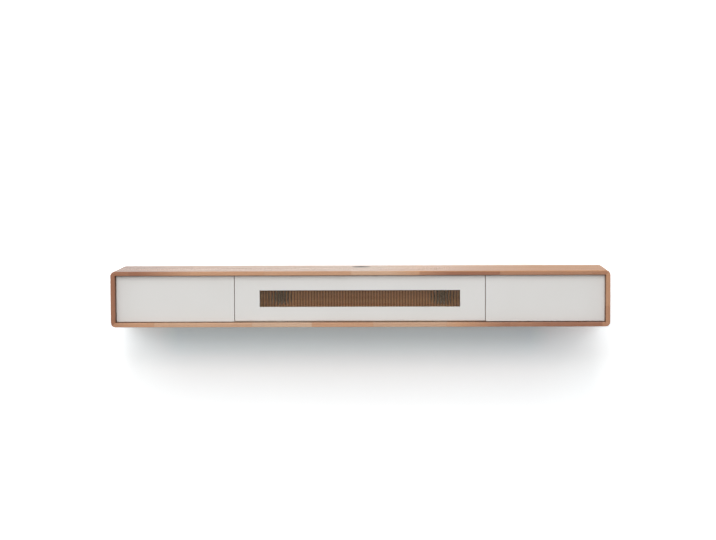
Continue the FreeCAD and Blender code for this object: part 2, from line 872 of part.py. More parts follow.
def front_panel(name, width):
    """Lacquered slab, centred across, with its front edges eased."""
    body = new_body(name)
    outline = sketch_on(body, "XZ_Plane")
    rectangle(outline, (f"-({width}) / 2", f"({width}) / 2"), (front_low, front_high))
    pad(body, outline, "dim.front_thickness")
    return body


def drawer_front():
    body = front_panel("drawer_slab", f"{drawer_front_outer} - {drawer_front_inner}")
    fillet(body, "dim.front_ease", in_front_plane)
    return body


def drawer(side, sign, members, box_parts, slab):
    """Place one drawer's own copies of its pieces in its bay."""
    x = f"{sign} * {bay_centre}"
    for part, shape in box_parts.items():
        node(f"{side}_drawer_{part}", copy_of(shape, f"{side}_drawer_{part}", x, "0", "0"))
    front_x = f"{sign} * ({drawer_front_outer} + {drawer_front_inner}) / 2"
    panel = copy_of(slab, f"{side}_slab", front_x, front_back, "0")
    holes = copy_of(box_parts["screws"], f"{side}_front_holes", x, "0", "0")
    node(f"{side}_drawer_front", cut(f"{side}_drawer_front", panel, [holes]))
    for name, shape in members.items():
        node(f"{side}_{name}", place(pair(f"{side}_{name}", shape), x))


# ---------------------------------------------------------------- glazed flap
def window_span(extra):
    """The flap's window, made larger all round by a formula."""
    half = f"(dim.flap_width / 2 - dim.stile_width + {extra})"
    low = f"({front_low} + dim.rail_width - {extra})"
    high = f"({front_high} - dim.rail_width + {extra})"
    return (f"-{half}", half), (low, high)


def flap_frame():
    body = front_panel("flap_slab", "dim.flap_width")

    def lower_long_edges(edge, whole):
        return edge.ZMax < whole.ZMin + FLUSH and edge.YLength < FLUSH

    def upper_front_edges(edge, whole):
        return in_front_plane(edge, whole) and edge.ZMax > whole.ZMax - FLUSH

    fillet(body, "dim.flap_corner_radius", lower_long_edges)
    fillet(body, "dim.front_ease", upper_front_edges)
    window = sketch_on(body, "XZ_Plane")
    rectangle(window, *window_span("0"))
    pocket(body, window, "dim.front_thickness")
    fillet(body, "dim.front_ease", around_opening(*window_span("0")))
    rebate = sketch_on(body, "XZ_Plane")
    rectangle(rebate, *window_span("dim.rebate"))
    pocket(body, rebate, "dim.front_thickness - dim.glass_lip")
    return place(body, "0", front_back)


glass_front = f"({front_face} + dim.glass_lip)"
glass_rear = f"({glass_front} + dim.glass_thickness)"


def flap_glass():
    x, z = window_span("(dim.rebate - dim.glass_clearance)")
    return box("glass_pane", x, (glass_front, glass_rear), z)


def glass_beads():
    """Strips behind the glass: two long ones with two short ones between them."""
    x, z = window_span("dim.rebate")
    inner_x, inner_z = window_span("0")
    y = (glass_rear, front_back)
    return group("glass_beads", [
        box("lower_bead", x, y, (z[0], inner_z[0])),
        box("upper_bead", x, y, (inner_z[1], z[1])),
        box("left_bead", (x[0], inner_x[0]), y, inner_z),
        box("right_bead", (inner_x[1], x[1]), y, inner_z),
    ])


pin_outer = "(dim.flap_width / 2 - dim.pivot_pin_inset)"


def pivot_pin():
    return rod(
        "pivot_pin", X, "dim.pivot_pin_radius", (hinge_y, hinge_z),
        (f"{pin_outer} - dim.pivot_pin_length", pin_outer),
    )


def pivot_bore():
    """Hole drilled in from the flap's end, closed behind the pin."""
    return rod(
        "pivot_bore", X, "dim.pivot_pin_radius", (hinge_y, hinge_z),
        (f"{pin_outer} - dim.pivot_pin_length", "dim.flap_width / 2 + 1"),
    )


def pivot_slot():
    """Corner slot of the flap, open behind and below, that the pivot plate turns in."""
    reach = "(dim.pivot_tip_radius + dim.pivot_slot_clearance)"
    return box(
        "pivot_slot",
        (f"{divider_inner} - dim.pivot_plate - dim.pivot_side_clearance",
         f"{divider_inner} + dim.pivot_side_clearance"),
        (f"{hinge_y} - {reach}", f"{front_back} + 1"),
        (f"{front_low} - 1", f"{hinge_z} + {reach}"),
    )


plate_span = (f"{divider_inner} - dim.pivot_plate", divider_inner)
plate_low = f"({hinge_z} - dim.pivot_tip_radius)"


def pivot_plate(plate_screws):
    """Steel plate on the divider, its tip carrying the flap's pin."""
    base = box(
        "plate_base", plate_span, (divider_front, f"{divider_front} + dim.pivot_base_depth"),
        (plate_low, f"{plate_low} + dim.pivot_base_height"),
    )
    neck = box(
        "plate_neck", plate_span, (hinge_y, divider_front),
        (plate_low, f"{hinge_z} + dim.pivot_tip_radius"),
    )
    tip = rod("plate_tip", X, "dim.pivot_tip_radius", (hinge_y, hinge_z), plate_span)
    bore = rod(
        "plate_bore", X, "dim.pivot_pin_radius + dim.running_clearance", (hinge_y, hinge_z),
        (f"{plate_span[0]} - 1", f"{plate_span[1]} + 1"),
    )
    return cut("pivot_plate", fuse("plate_blank", [base, neck, tip]), [bore, plate_screws])


def pivot_screws():
    y = f"{divider_front} + dim.pivot_base_depth - dim.pivot_screw_margin"
    return screws("pivot_screws", short_screw, X, [
        (plate_span[0], y, f"{plate_low} + dim.pivot_screw_margin"),
        (plate_span[0], y, f"{plate_low} + dim.pivot_base_height - dim.pivot_screw_margin"),
    ])


# ---------------------------------------------------------------- flap stays
def strap(name, start, reach, half, span):
    """Flat bar with round ends, from a pivot to the one that lies a given reach away."""
    y, z = start
    dy, dz = reach
    length = f"sqrt(({dy}) ^ 2 + ({dz}) ^ 2)"
    side_y = f"({half} * ({dz}) / {length})"
    side_z = f"({half} * ({dy}) / {length})"
    bar = prism(f"{name}_bar", "YZ_Plane", [
        (f"{y} + {side_y}", f"{z} - {side_z}"),
        (f"{y} + {dy} + {side_y}", f"{z} + {dz} - {side_z}"),
        (f"{y} + {dy} - {side_y}", f"{z} + {dz} + {side_z}"),
        (f"{y} - {side_y}", f"{z} + {side_z}"),
    ], f"({span[1]}) - ({span[0]})")
    place(bar, span[0])
    near = rod(f"{name}_near_end", X, half, start, span)
    far = rod(f"{name}_far_end", X, half, (f"{y} + {dy}", f"{z} + {dz}"), span)
    return fuse(f"{name}_blank", [bar, near, far])


def pivot_hole(name, centre, radius, span):
    return rod(
        name, X, f"{radius} + dim.running_clearance", centre,
        (f"{span[0]} - 1", f"{span[1]} + 1"),
    )


arm_span = (arm_inner, arm_outer)
link_span = (link_inner, link_outer)


def stay_arm():
    bar = strap(
        "arm", (stay_y, stay_z), ("dim.bracket_pivot_back", "dim.bracket_pivot_up"),
        "dim.arm_half_width", arm_span,
    )
    bore = pivot_hole("arm_bore", (stay_y, stay_z), "dim.arm_pin_radius", arm_span)
    return cut("arm", bar, [bore, crank_pin])


def stay_link():
    bar = strap(
        "link", (bracket_y, bracket_z), ("dim.stay_pivot_back", "dim.stay_pivot_up"),
        "dim.link_half_width", link_span,
    )
    front_bore = pivot_hole(
        "link_front_bore", (bracket_y, bracket_z), "dim.bracket_pin_radius", link_span
    )
    rear_bore = pivot_hole(
        "link_rear_bore", (crank_y, crank_z), "dim.arm_pin_radius", link_span
    )
    return cut("link", bar, [front_bore, rear_bore])


def stay_body(tools):
    """Spring housing on the divider, with rounded corners."""
    body = new_body("stay_housing")
    outline = sketch_on(body, "YZ_Plane")
    rectangle(
        outline,
        (f"{stay_y} - dim.stay_body_front", f"{stay_y} + dim.stay_body_rear"),
        (f"{stay_z} - dim.stay_body_below", f"{stay_z} + dim.stay_body_above"),
    )
    pad(body, outline, "dim.stay_thickness")

    def along_x(edge, whole):
        return edge.YLength < FLUSH and edge.ZLength < FLUSH

    fillet(body, "dim.stay_body_radius", along_x)
    return cut("stay_body", place(body, stay_inner), tools)


def stay_screws():
    return screws("stay_screws", long_screw, X, [
        (stay_inner, f"{stay_y} - dim.stay_screw_front", stay_z),
        (stay_inner, f"{stay_y} + dim.stay_screw_back", stay_z),
    ])


def stay_bracket(bracket_screws):
    """Foot on the flap's back with an ear and a stud for the link."""
    foot_z = (f"{bracket_z} - dim.bracket_foot_height / 2",
              f"{bracket_z} + dim.bracket_foot_height / 2")
    foot = box(
        "bracket_foot", (f"{ear_outer} - dim.bracket_foot_width", ear_outer),
        (front_back, f"{front_back} + dim.bracket_metal"), foot_z,
    )
    ear_z = (f"{bracket_z} - dim.link_half_width", f"{bracket_z} + dim.link_half_width")
    ear = box("bracket_ear", (ear_inner, ear_outer), (front_back, bracket_y), ear_z)
    nose = rod(
        "bracket_nose", X, "dim.link_half_width", (bracket_y, bracket_z), (ear_inner, ear_outer)
    )
    stud = rod(
        "bracket_stud", X, "dim.bracket_pin_radius", (bracket_y, bracket_z),
        (ear_inner, f"{link_outer} + dim.pin_proud"),
    )
    blank = fuse("bracket_blank", [foot, ear, nose, stud])
    return cut("stay_bracket", blank, [bracket_screws])


def bracket_screws():
    x = f"{ear_outer} - dim.bracket_foot_width + dim.bracket_screw_margin"
    y = f"{front_back} + dim.bracket_metal"
    return screws("bracket_screws", short_screw, -Y, [
        (x, y, f"{bracket_z} {sign} (dim.bracket_foot_height / 2 - dim.bracket_screw_margin)")
        for sign in "+-"
    ])


# ---------------------------------------------------------------- push-to-open latches
# Drawn at x = 0 and placed at each latch's own x.
latch_front = f"({front_back} + dim.latch_setback)"
latch_axis = f"({inner_top} - dim.latch_height / 2)"
latch_places = {
    "left_drawer": [f"-{bay_centre}"],
    "right_drawer": [bay_centre],
    "flap": [f"-({divider_inner} - dim.flap_latch_inset)",
             f"{divider_inner} - dim.flap_latch_inset"],
}


def latch_screws():
    y = f"{latch_front} + dim.latch_flange_inset + dim.latch_flange_length / 2"
    z = f"{inner_top} - dim.latch_flange_thickness"
    return screws("latch_screw_pair", short_screw, Z, [
        ("-dim.latch_screw_offset", y, z),
        ("dim.latch_screw_offset", y, z),
    ])


def latch_body(screw_pair):
    case = box(
        "latch_case", ("-dim.latch_width / 2", "dim.latch_width / 2"),
        (latch_front, f"{latch_front} + dim.latch_length"),
        (f"{inner_top} - dim.latch_height", inner_top),
    )
    flange = box(
        "latch_flange", ("-dim.latch_flange_width / 2", "dim.latch_flange_width / 2"),
        (f"{latch_front} + dim.latch_flange_inset",
         f"{latch_front} + dim.latch_flange_inset + dim.latch_flange_length"),
        (f"{inner_top} - dim.latch_flange_thickness", inner_top),
    )
    bore = rod(
        "latch_bore", Y, "dim.plunger_radius + dim.plunger_clearance", ("0", latch_axis),
        (f"{latch_front} - 1", f"{latch_front} + dim.latch_bore_depth"),
    )
    return cut("latch_body", fuse("latch_blank", [case, flange]), [bore, screw_pair])


def plunger():
    tip_front = f"({front_back} + dim.plunger_rest_gap)"
    stem = rod(
        "plunger_stem", Y, "dim.plunger_radius", ("0", latch_axis),
        (tip_front, f"{tip_front} + dim.plunger_length"),
    )
    tip = rod(
        "plunger_tip", Y, "dim.plunger_tip_radius", ("0", latch_axis),
        (tip_front, f"{tip_front} + dim.plunger_tip_length"),
    )
    return fuse("plunger", [stem, tip])


# ---------------------------------------------------------------- the console put together
frame = rounded_frame()
zones = mitre_zones()
boards = {name: shared(f"{name}_board", frame, zone) for name, zone in zones.items()}
grooves = corner_keys("spline_grooves", "dim.spline_clearance")
panel_dowels = node("panel_dowels", dowels())
node("mitre_splines", corner_keys("splines", "0"))

left_runner_screws = member_screws(
    "left_runner_screws", f"{runner_wall} + dim.outer_member_metal", -X, "dim.runner_screw_inset"
)
bay_screws = pair("bay_runner_screws", left_runner_screws)
side_runner_screws = {
    side: copy_of(bay_screws, f"{side}_bay_screws", f"{sign} * {bay_centre}", "0", "0")
    for side, sign in SIDES
}
one_pivot_screws = pivot_screws()
one_stay_screws = stay_screws()
one_latch_screws = latch_screws()
latch_names = [(name, i, x) for name, places in latch_places.items() for i, x in enumerate(places)]
all_latch_screws = group("all_latch_screws", [
    copy_of(one_latch_screws, f"{name}_latch_screws_{i}", x, "0", "0") for name, i, x in latch_names
])
right_flap_screws = group("right_flap_screws", [one_pivot_screws, one_stay_screws])
flap_screws = pair("flap_fitting_screws", right_flap_screws)
node("fitting_screws", group("fitting_screws", [
    *side_runner_screws.values(), flap_screws, all_latch_screws,
]))
cleat_screw_group = cleat_screws()
batten_screw_group = batten_screws()
node("back_screws", group("back_screws", [cleat_screw_group, batten_screw_group]))

node("top_panel", cut("top_panel", boards["top"], [
    grooves, panel_dowels, grommet_hole(), all_latch_screws,
]))
node("bottom_panel", cut("bottom_panel", boards["bottom"], [grooves, panel_dowels]))
for side, _ in SIDES:
    node(f"{side}_side_panel", cut(f"{side}_side_panel", boards[side], [
        grooves, side_runner_screws[side],
    ]))
for side, sign in SIDES:
    blank = box(
        f"{side}_divider_blank",
        (f"{sign} * {divider_centre} - dim.divider_thickness / 2",
         f"{sign} * {divider_centre} + dim.divider_thickness / 2"),
        (divider_front, back_front),
        (inner_bottom, inner_top),
    )
    node(f"{side}_divider", cut(f"{side}_divider", blank, [
        panel_dowels, side_runner_screws[side], flap_screws,
    ]))
back_blank = box(
    "back_blank", (f"-{inner_side}", inner_side), (back_front, back_rear),
    (inner_bottom, inner_top),
)
node("back_panel", cut("back_panel", back_blank, [
    panel_dowels, pair("port_holes", port_hole()), cleat_screw_group, batten_screw_group,
]))
batten_blank = box(
    "batten_blank", ("-dim.batten_length / 2", "dim.batten_length / 2"), (back_rear, "0"),
    (batten_low, batten_high),
)
node("wall_spacer_batten", cut("wall_spacer_batten", batten_blank, [batten_screw_group]))
node("wall_cleat", wall_cleat())
node("cabinet_cleat", cut("cabinet_cleat", cabinet_cleat(), [cleat_screw_group]))

node("top_grommet_liner", grommet_liner())
node("top_grommet_cap", grommet_cap())
node("back_cable_liners", pair("back_cable_liners", cable_liner()))

box_parts = drawer_box()
members = runner_members()
members["runner_inner_members"] = cut(
    "inner_drilled", members["runner_inner_members"], [box_parts["screws"]]
)
slab = drawer_front()
for side, sign in SIDES:
    drawer(side, sign, members, box_parts, slab)

bracket_screw_pair = pair("bracket_screw_pair", bracket_screws())
node("flap_frame", cut("flap_frame", flap_frame(), [
    pair("pivot_bores", pivot_bore()), pair("pivot_slots", pivot_slot()), bracket_screw_pair,
]))
node("flap_glass", flap_glass())
node("flap_glass_beads", glass_beads())
node("flap_pivot_pins", pair("flap_pivot_pins", pivot_pin()))
node("flap_pivot_plates", pair("flap_pivot_plates", pivot_plate(one_pivot_screws)))
node("flap_stay_brackets", pair("flap_stay_brackets", stay_bracket(bracket_screw_pair)))
node("flap_bracket_screws", group("flap_bracket_screws", [bracket_screw_pair]))

stay_pin = rod(
    "stay_pin", X, "dim.arm_pin_radius", (stay_y, stay_z),
    (f"{arm_inner} - dim.pin_proud", f"{stay_inner} + dim.pin_sunk"),
)
crank_pin = rod(
    "crank_pin", X, "dim.arm_pin_radius", (crank_y, crank_z),
    (f"{link_inner} - dim.pin_proud", arm_outer),
)
node("stay_bodies", pair("stay_bodies", stay_body([stay_pin, one_stay_screws])))
node("stay_body_pins", pair("stay_body_pins", stay_pin))
node("stay_arms", pair("stay_arms", stay_arm()))
node("stay_arm_pins", pair("stay_arm_pins", crank_pin))
node("stay_links", pair("stay_links", stay_link()))

one_latch = latch_body(one_latch_screws)
one_plunger = plunger()
node("push_latch_bodies", group("push_latch_bodies", [
    copy_of(one_latch, f"{name}_latch_{i}", x, "0", "0") for name, i, x in latch_names
]))
for name, places in latch_places.items():
    plungers = [
        copy_of(one_plunger, f"{name}_plunger_{i}", x, "0", "0") for i, x in enumerate(places)
    ]
    node(f"{name}_latch_plunger", group(f"{name}_latch_plunger", plungers))

# ---------------------------------------------------------------- checks and files
doc.recompute()
for thing in doc.Objects:
    if "Invalid" in thing.State or "Error" in thing.State:
        raise RuntimeError(f"{thing.Name} did not recompute: {thing.State}")
for thing in nodes:
    if thing.Shape.isNull() or not thing.Shape.isValid() or not thing.Shape.Solids:
        raise RuntimeError(f"{thing.Label} has no valid solid")

os.makedirs("parts", exist_ok=True)
for thing in nodes:
    thing.Shape.exportStep(f"parts/{thing.Label}.step")
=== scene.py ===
import math

import bmesh
import bpy
from mathutils import Matrix, Vector


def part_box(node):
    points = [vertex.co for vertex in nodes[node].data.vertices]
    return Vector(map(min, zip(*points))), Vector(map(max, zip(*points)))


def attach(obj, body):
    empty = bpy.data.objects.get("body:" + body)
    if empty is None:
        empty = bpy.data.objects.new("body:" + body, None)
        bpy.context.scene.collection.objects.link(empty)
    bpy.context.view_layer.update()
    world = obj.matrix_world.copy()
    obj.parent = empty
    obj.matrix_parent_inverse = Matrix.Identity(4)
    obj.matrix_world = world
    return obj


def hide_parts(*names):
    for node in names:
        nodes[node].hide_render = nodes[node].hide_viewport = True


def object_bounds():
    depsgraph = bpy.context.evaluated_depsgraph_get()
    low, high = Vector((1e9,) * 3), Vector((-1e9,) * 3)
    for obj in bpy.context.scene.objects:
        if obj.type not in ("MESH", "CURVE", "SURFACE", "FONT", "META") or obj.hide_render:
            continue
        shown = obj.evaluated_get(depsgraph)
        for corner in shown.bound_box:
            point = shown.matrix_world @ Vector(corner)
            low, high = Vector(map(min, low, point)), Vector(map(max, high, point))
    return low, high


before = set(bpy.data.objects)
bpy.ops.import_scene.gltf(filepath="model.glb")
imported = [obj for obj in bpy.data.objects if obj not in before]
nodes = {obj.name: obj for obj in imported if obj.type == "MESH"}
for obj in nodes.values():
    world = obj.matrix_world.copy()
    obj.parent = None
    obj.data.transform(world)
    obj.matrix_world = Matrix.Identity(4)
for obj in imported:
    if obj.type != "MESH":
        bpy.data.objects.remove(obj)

cad_box = [list(corner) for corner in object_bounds()]
low, high = Vector(cad_box[0]), Vector(cad_box[1])

# ---------------------------------------------------------------- sizes, in metres
front_plane = low.y
under_face = low.z
top_face = high.z

# The boards are glued up from staves that run along them.
stave_width = 0.0512
stave_offset = 0.0075
stave_length = 0.25
glue_line_width = 0.0005

# The pane's reeds, standing upright side by side.
pane_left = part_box("flap_glass")[0].x
pane_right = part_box("flap_glass")[1].x
wanted_reed_pitch = 0.0103
reed_count = round((pane_right - pane_left) / wanted_reed_pitch)
reed_pitch = (pane_right - pane_left) / reed_count
reed_depth = 0.0014
steps_in_a_reed = 12

# The screws take their length and head radius from the CAD screws that they stand for.
# Shank, recess and the recess's arms are shares of the head's radius, its depth of the height.
head_height = 0.002
shank_share = 0.5
recess_share = 0.34
recess_reach = 1.15
recess_deep = 0.62
head_sides = 20
shank_sides = 12
turn_seed = 7

# The room around the console.
wall_plane = 0.0
wall_gap = 0.0004
wall_top = 5.0
floor_drop = 0.92
room_half_width = 7.0
room_depth = 9.0

same_point = 1e-6
same_face = 1e-5


def new_object(name, data):
    """An object in the scene that holds the given mesh, lamp or lens."""
    made = bpy.data.objects.new(name, data)
    bpy.context.scene.collection.objects.link(made)
    return made


# ---------------------------------------------------------------- camera
camera_place = (0.1984, -7.575, 0.5655)
camera_yaw = math.radians(1.603)
camera_pitch = math.radians(3.981)
camera_roll = math.radians(0.273)
focal_length = 102.04  # in millimetres, as the sensor's width
sensor_width = 36.0
nearest_seen = 0.05
farthest_seen = 60.0


def set_camera():
    """Looks at the front through a long lens, from a little above and right of the middle."""
    lens = bpy.data.cameras.new("camera")
    lens.lens = focal_length
    lens.sensor_width = sensor_width
    lens.clip_start = nearest_seen
    lens.clip_end = farthest_seen
    camera = new_object("camera", lens)
    # It looks along +Y, and is then rolled, tipped down and swung to the left.
    turn = (
        Matrix.Rotation(camera_yaw, 3, "Z")
        @ Matrix.Rotation(-camera_pitch, 3, "X")
        @ Matrix.Rotation(camera_roll, 3, "Y")
        @ Matrix.Rotation(math.radians(90), 3, "X")
    )
    camera.matrix_world = Matrix.Translation(camera_place) @ turn.to_4x4()
    bpy.context.scene.camera = camera


# ---------------------------------------------------------------- laying out nodes
class Bench:
    """Lays nodes in one tree and joins them."""

    def __init__(self, tree):
        self.tree = tree

    def feed(self, socket, value):
        """Links what another node puts out to a socket, or sets the socket to a plain value."""
        if isinstance(value, bpy.types.NodeSocket):
            self.tree.links.new(value, socket)
        else:
            socket.default_value = value

    def lay(self, kind, inputs=None, **settings):
        """Adds a node with its settings and with what goes into it."""
        node = self.tree.nodes.new(kind)
        for key, value in settings.items():
            setattr(node, key, value)
        for key, value in (inputs or {}).items():
            self.feed(node.inputs[key], value)
        return node

    def math(self, operation, *values):
        node = self.lay("ShaderNodeMath", operation=operation)
        for socket, value in zip(node.inputs, values):
            self.feed(socket, value)
        return node.outputs[0]

    def add(self, a, b):
        return self.math("ADD", a, b)

    def times(self, a, b):
        return self.math("MULTIPLY", a, b)

    def larger(self, a, b):
        return self.math("MAXIMUM", a, b)

    def size_of(self, a):
        return self.math("ABSOLUTE", a)

    def spread(self, value, low_in, high_in, low_out, high_out, smooth=False):
        """Stretches one range of a value onto another, and stops at its ends."""
        node = self.lay(
            "ShaderNodeMapRange",
            {
                "Value": value,
                "From Min": low_in,
                "From Max": high_in,
                "To Min": low_out,
                "To Max": high_out,
            },
            interpolation_type="SMOOTHSTEP" if smooth else "LINEAR",
        )
        return node.outputs["Result"]

    def vector(self, x, y, z):
        return self.lay("ShaderNodeCombineXYZ", {"X": x, "Y": y, "Z": z}).outputs["Vector"]

    def split(self, vector):
        return self.lay("ShaderNodeSeparateXYZ", {"Vector": vector}).outputs

    def scaled(self, place, scale, turn=(0.0, 0.0, 0.0)):
        """A place with its own scale along each axis, which draws a pattern out."""
        node = self.lay("ShaderNodeMapping", {"Vector": place, "Rotation": turn, "Scale": scale})
        return node.outputs["Vector"]

    def noise(self, place, scale=1.0, detail=2.0, roughness=0.5, distortion=0.0):
        node = self.lay(
            "ShaderNodeTexNoise",
            {
                "Vector": place,
                "Scale": scale,
                "Detail": detail,
                "Roughness": roughness,
                "Distortion": distortion,
            },
        )
        return node.outputs["Fac"]

    def blend(self, share, a, b):
        """A colour that goes from a to b with the share."""
        node = self.lay("ShaderNodeMix", data_type="RGBA")
        colours = [s for s in node.inputs if s.type == "RGBA"]
        for socket, value in zip([node.inputs[0], *colours], (share, a, b)):
            self.feed(socket, value)
        return next(s for s in node.outputs if s.type == "RGBA")

    def mixed(self, share, a, b):
        """A shader that goes from a to b with the share."""
        return self.lay("ShaderNodeMixShader", {0: share, 1: a, 2: b}).outputs[0]

    def seen(self):
        """1 for what the camera sees, also in a reflection or through glass, and 0 for light."""
        ray = self.lay("ShaderNodeLightPath").outputs
        second_hand = self.larger(ray["Is Glossy Ray"], ray["Is Transmission Ray"])
        return self.larger(ray["Is Camera Ray"], second_hand)

    def join(self, *geometries):
        joined = self.lay("GeometryNodeJoinGeometry")
        for geometry in geometries:
            self.feed(joined.inputs[0], geometry)
        return joined.outputs["Geometry"]


def rgb(red, green, blue):
    """A colour given as it looks on a screen, 0 to 255."""
    channels = []
    for value in (red, green, blue):
        value = value / 255.0
        channels.append(value / 12.92 if value <= 0.04045 else ((value + 0.055) / 1.055) ** 2.4)
    return (*channels, 1.0)


class Finish(Bench):
    """A material: its shader, and the pattern that feeds its colour, roughness and bump."""

    def __init__(self, name, **uniform):
        self.material = bpy.data.materials.new(name)
        self.material.use_nodes = True
        super().__init__(self.material.node_tree)
        self.shader = self.tree.nodes["Principled BSDF"]
        for key, value in uniform.items():
            self.shader.inputs[key.replace("_", " ")].default_value = value
        self.place = self.lay("ShaderNodeTexCoord").outputs["Object"]

    def axes(self):
        parts = self.split(self.place)
        return parts["X"], parts["Y"], parts["Z"]

    def colour(self, value):
        self.feed(self.shader.inputs["Base Color"], value)

    def roughness(self, value):
        self.feed(self.shader.inputs["Roughness"], value)

    def bump(self, height, depth, strength):
        settings = {"Height": height, "Distance": depth, "Strength": strength}
        self.feed(self.shader.inputs["Normal"], self.lay("ShaderNodeBump", settings).outputs[0])

    def surface(self, shader):
        """What the material shows, in place of its own shader alone."""
        self.feed(self.tree.nodes["Material Output"].inputs["Surface"], shader)


# ---------------------------------------------------------------- jointed staves
def stave_layout(wood, along, y, through):
    """Lays the staves end to end in rows: what each draws by lot, and the glue lines."""
    boards_per_metre = 5.0
    row_jump, board_jump = 37.7, 11.3
    across = wood.math("DIVIDE", wood.add(y, stave_offset - front_plane), stave_width)
    row = wood.math("FLOOR", across)
    board = wood.math("FLOOR", wood.times(through, boards_per_metre))
    jump = wood.add(wood.times(row, row_jump), wood.times(board, board_jump))
    run = {"W": wood.add(wood.times(along, 1.0 / stave_length), jump), "Scale": 1.0}
    stave = wood.lay("ShaderNodeTexVoronoi", run, voronoi_dimensions="1D")
    ends = wood.lay(
        "ShaderNodeTexVoronoi", run, voronoi_dimensions="1D", feature="DISTANCE_TO_EDGE"
    )
    lots = wood.lay("ShaderNodeSeparateColor", {"Color": stave.outputs["Color"]}).outputs

    to_row_edge = wood.times(wood.math("PINGPONG", across, 0.5), stave_width)
    to_stave_end = wood.times(ends.outputs["Distance"], stave_length)
    row_line, end_line = [
        wood.spread(distance, 0.0, glue_line_width, 1.0, 0.0)
        for distance in (to_row_edge, to_stave_end)
    ]
    return lots, wood.larger(row_line, end_line)


def stave_tone(wood, grain, along, through, lot):
    """How pale each stave is, from 0 for red heartwood to 1 for sapwood."""
    share_of_the_lot = 0.52
    if grain == "along":
        # Paler staves lie about a place left of the middle, redder ones towards the ends,
        # which starts further out on the bottom board, and the reddest at the right.
        pale_place = -0.25
        bottom_slip = -0.20
        slip = wood.times(wood.math("LESS_THAN", through, 0.0), bottom_slip)
        off_pale_place = wood.add(wood.size_of(wood.add(along, -pale_place)), slip)
        picked = wood.add(
            wood.spread(off_pale_place, 0.36, 0.60, 0.46, -0.08),
            wood.spread(wood.add(along, slip), 0.40, 0.50, 0.0, -0.14),
        )
    else:
        # The left side is redder than the right one.
        picked = wood.spread(through, -0.5, 0.5, -0.30, 0.14)
    return wood.add(wood.times(lot, share_of_the_lot), picked)


def stave_grain(wood, along, y, through, lots):
    """Rings, fibres and dark flecks, in each stave as cut from its own place in the tree."""
    cut_from = wood.vector(
        wood.add(along, wood.times(lots[2], 9.0)),
        wood.add(y, wood.times(lots[1], 3.0)),
        wood.add(through, wood.times(lots[0], 2.0)),
    )
    long_wave = wood.noise(wood.scaled(cut_from, (1.4, 9.0, 9.0)), detail=1.0)
    straight = wood.split(cut_from)
    wavy = wood.add(straight["Y"], wood.times(long_wave, 0.030))

    def marks(across, scale, **pattern):
        parts = zip((straight["X"], across, straight["Z"]), scale)
        return wood.noise(wood.vector(*(wood.times(part, by) for part, by in parts)), **pattern)

    rings = marks(wavy, (0.55, 62.0, 34.0), detail=3.0, roughness=0.55)
    fibres = marks(wavy, (9.0, 520.0, 520.0), detail=2.0, roughness=0.6)
    pores = marks(straight["Y"], (120.0, 1500.0, 1500.0), detail=0.0)
    return rings, fibres, wood.spread(pores, 0.64, 0.74, 0.0, 1.0)


def jointed_staves(name, grain):
    """Solid board of cherry-coloured staves, oiled, the grain along X or upright."""
    wood = Finish(name)
    x, y, z = wood.axes()
    along, through = (x, z) if grain == "along" else (z, x)
    lots, glue_line = stave_layout(wood, along, y, through)
    rings, fibres, flecks = stave_grain(wood, along, y, through, lots)

    pale = rgb(206, 176, 149)
    middle = rgb(190, 144, 110)
    red = rgb(141, 91, 64)
    # Warm tone of the upper face's right part: redder wood and painted shade and reflection.
    warm_wood_and_painted_shade = rgb(214, 155, 100)
    ring_brown = rgb(154, 104, 73)
    fibre_brown = rgb(148, 102, 72)
    fleck_brown = rgb(92, 56, 38)
    glue_brown = rgb(88, 54, 38)

    tone = stave_tone(wood, grain, along, through, lots[0])
    by_tone = wood.lay("ShaderNodeValToRGB", {"Fac": tone})
    ramp = by_tone.color_ramp
    ramp.elements[0].position = 0.05
    ramp.elements[0].color = red
    ramp.elements[1].position = 0.95
    ramp.elements[1].color = pale
    ramp.elements.new(0.5).color = middle
    base = by_tone.outputs["Color"]
    # Partly redder wood and partly painted shade and reflection: the upper face is warmer towards
    # the right, and its oil duller.
    upper_face = wood.spread(z, top_face - 0.004, top_face - 0.0005, 0.0, 1.0)
    warm_wood_and_painted_shade_share = wood.times(upper_face, wood.spread(x, 0.02, 0.22, 0.0, 0.6))
    base = wood.blend(warm_wood_and_painted_shade_share, base, warm_wood_and_painted_shade)
    dark_ring = wood.blend(0.5, base, ring_brown)
    ringed = wood.blend(wood.spread(rings, 0.42, 0.72, 0.0, 0.55, smooth=True), base, dark_ring)
    fibred = wood.blend(wood.spread(fibres, 0.35, 0.75, 0.0, 0.32), ringed, fibre_brown)
    flecked = wood.blend(wood.times(flecks, 0.30), fibred, fleck_brown)
    wood.colour(wood.blend(wood.times(glue_line, 0.5), flecked, glue_brown))

    oiled = wood.spread(fibres, 0.3, 0.8, 0.24, 0.35)
    dulled = wood.times(upper_face, wood.spread(x, 0.28, 0.65, 0.0, 0.18))
    wood.roughness(wood.add(oiled, dulled))
    height = wood.add(
        wood.times(fibres, -0.35),
        wood.add(wood.times(flecks, -0.5), wood.times(glue_line, -1.0)),
    )
    wood.bump(height, depth=0.00012, strength=0.6)
    return wood.material


# ---------------------------------------------------------------- other finishes
def matt_lacquer():
    """Warm grey-white lacquer with the faint orange peel of a sprayed front."""
    lacquer = Finish("matt lacquer")
    cloud = lacquer.noise(lacquer.place, scale=3.0)
    peel = lacquer.noise(lacquer.place, scale=420.0)
    speck = lacquer.noise(lacquer.place, scale=2600.0, detail=0.0)
    clouded = lacquer.spread(cloud, 0.3, 0.7, 0.0, 1.0)
    tint = lacquer.blend(clouded, rgb(209, 208, 205), rgb(213, 212, 210))
    specked = lacquer.spread(speck, 0.66, 0.78, 0.0, 0.18)
    lacquer.colour(lacquer.blend(specked, tint, rgb(188, 186, 182)))
    lacquer.roughness(lacquer.spread(peel, 0.3, 0.7, 0.46, 0.54))
    lacquer.bump(peel, depth=0.00004, strength=0.5)
    return lacquer.material


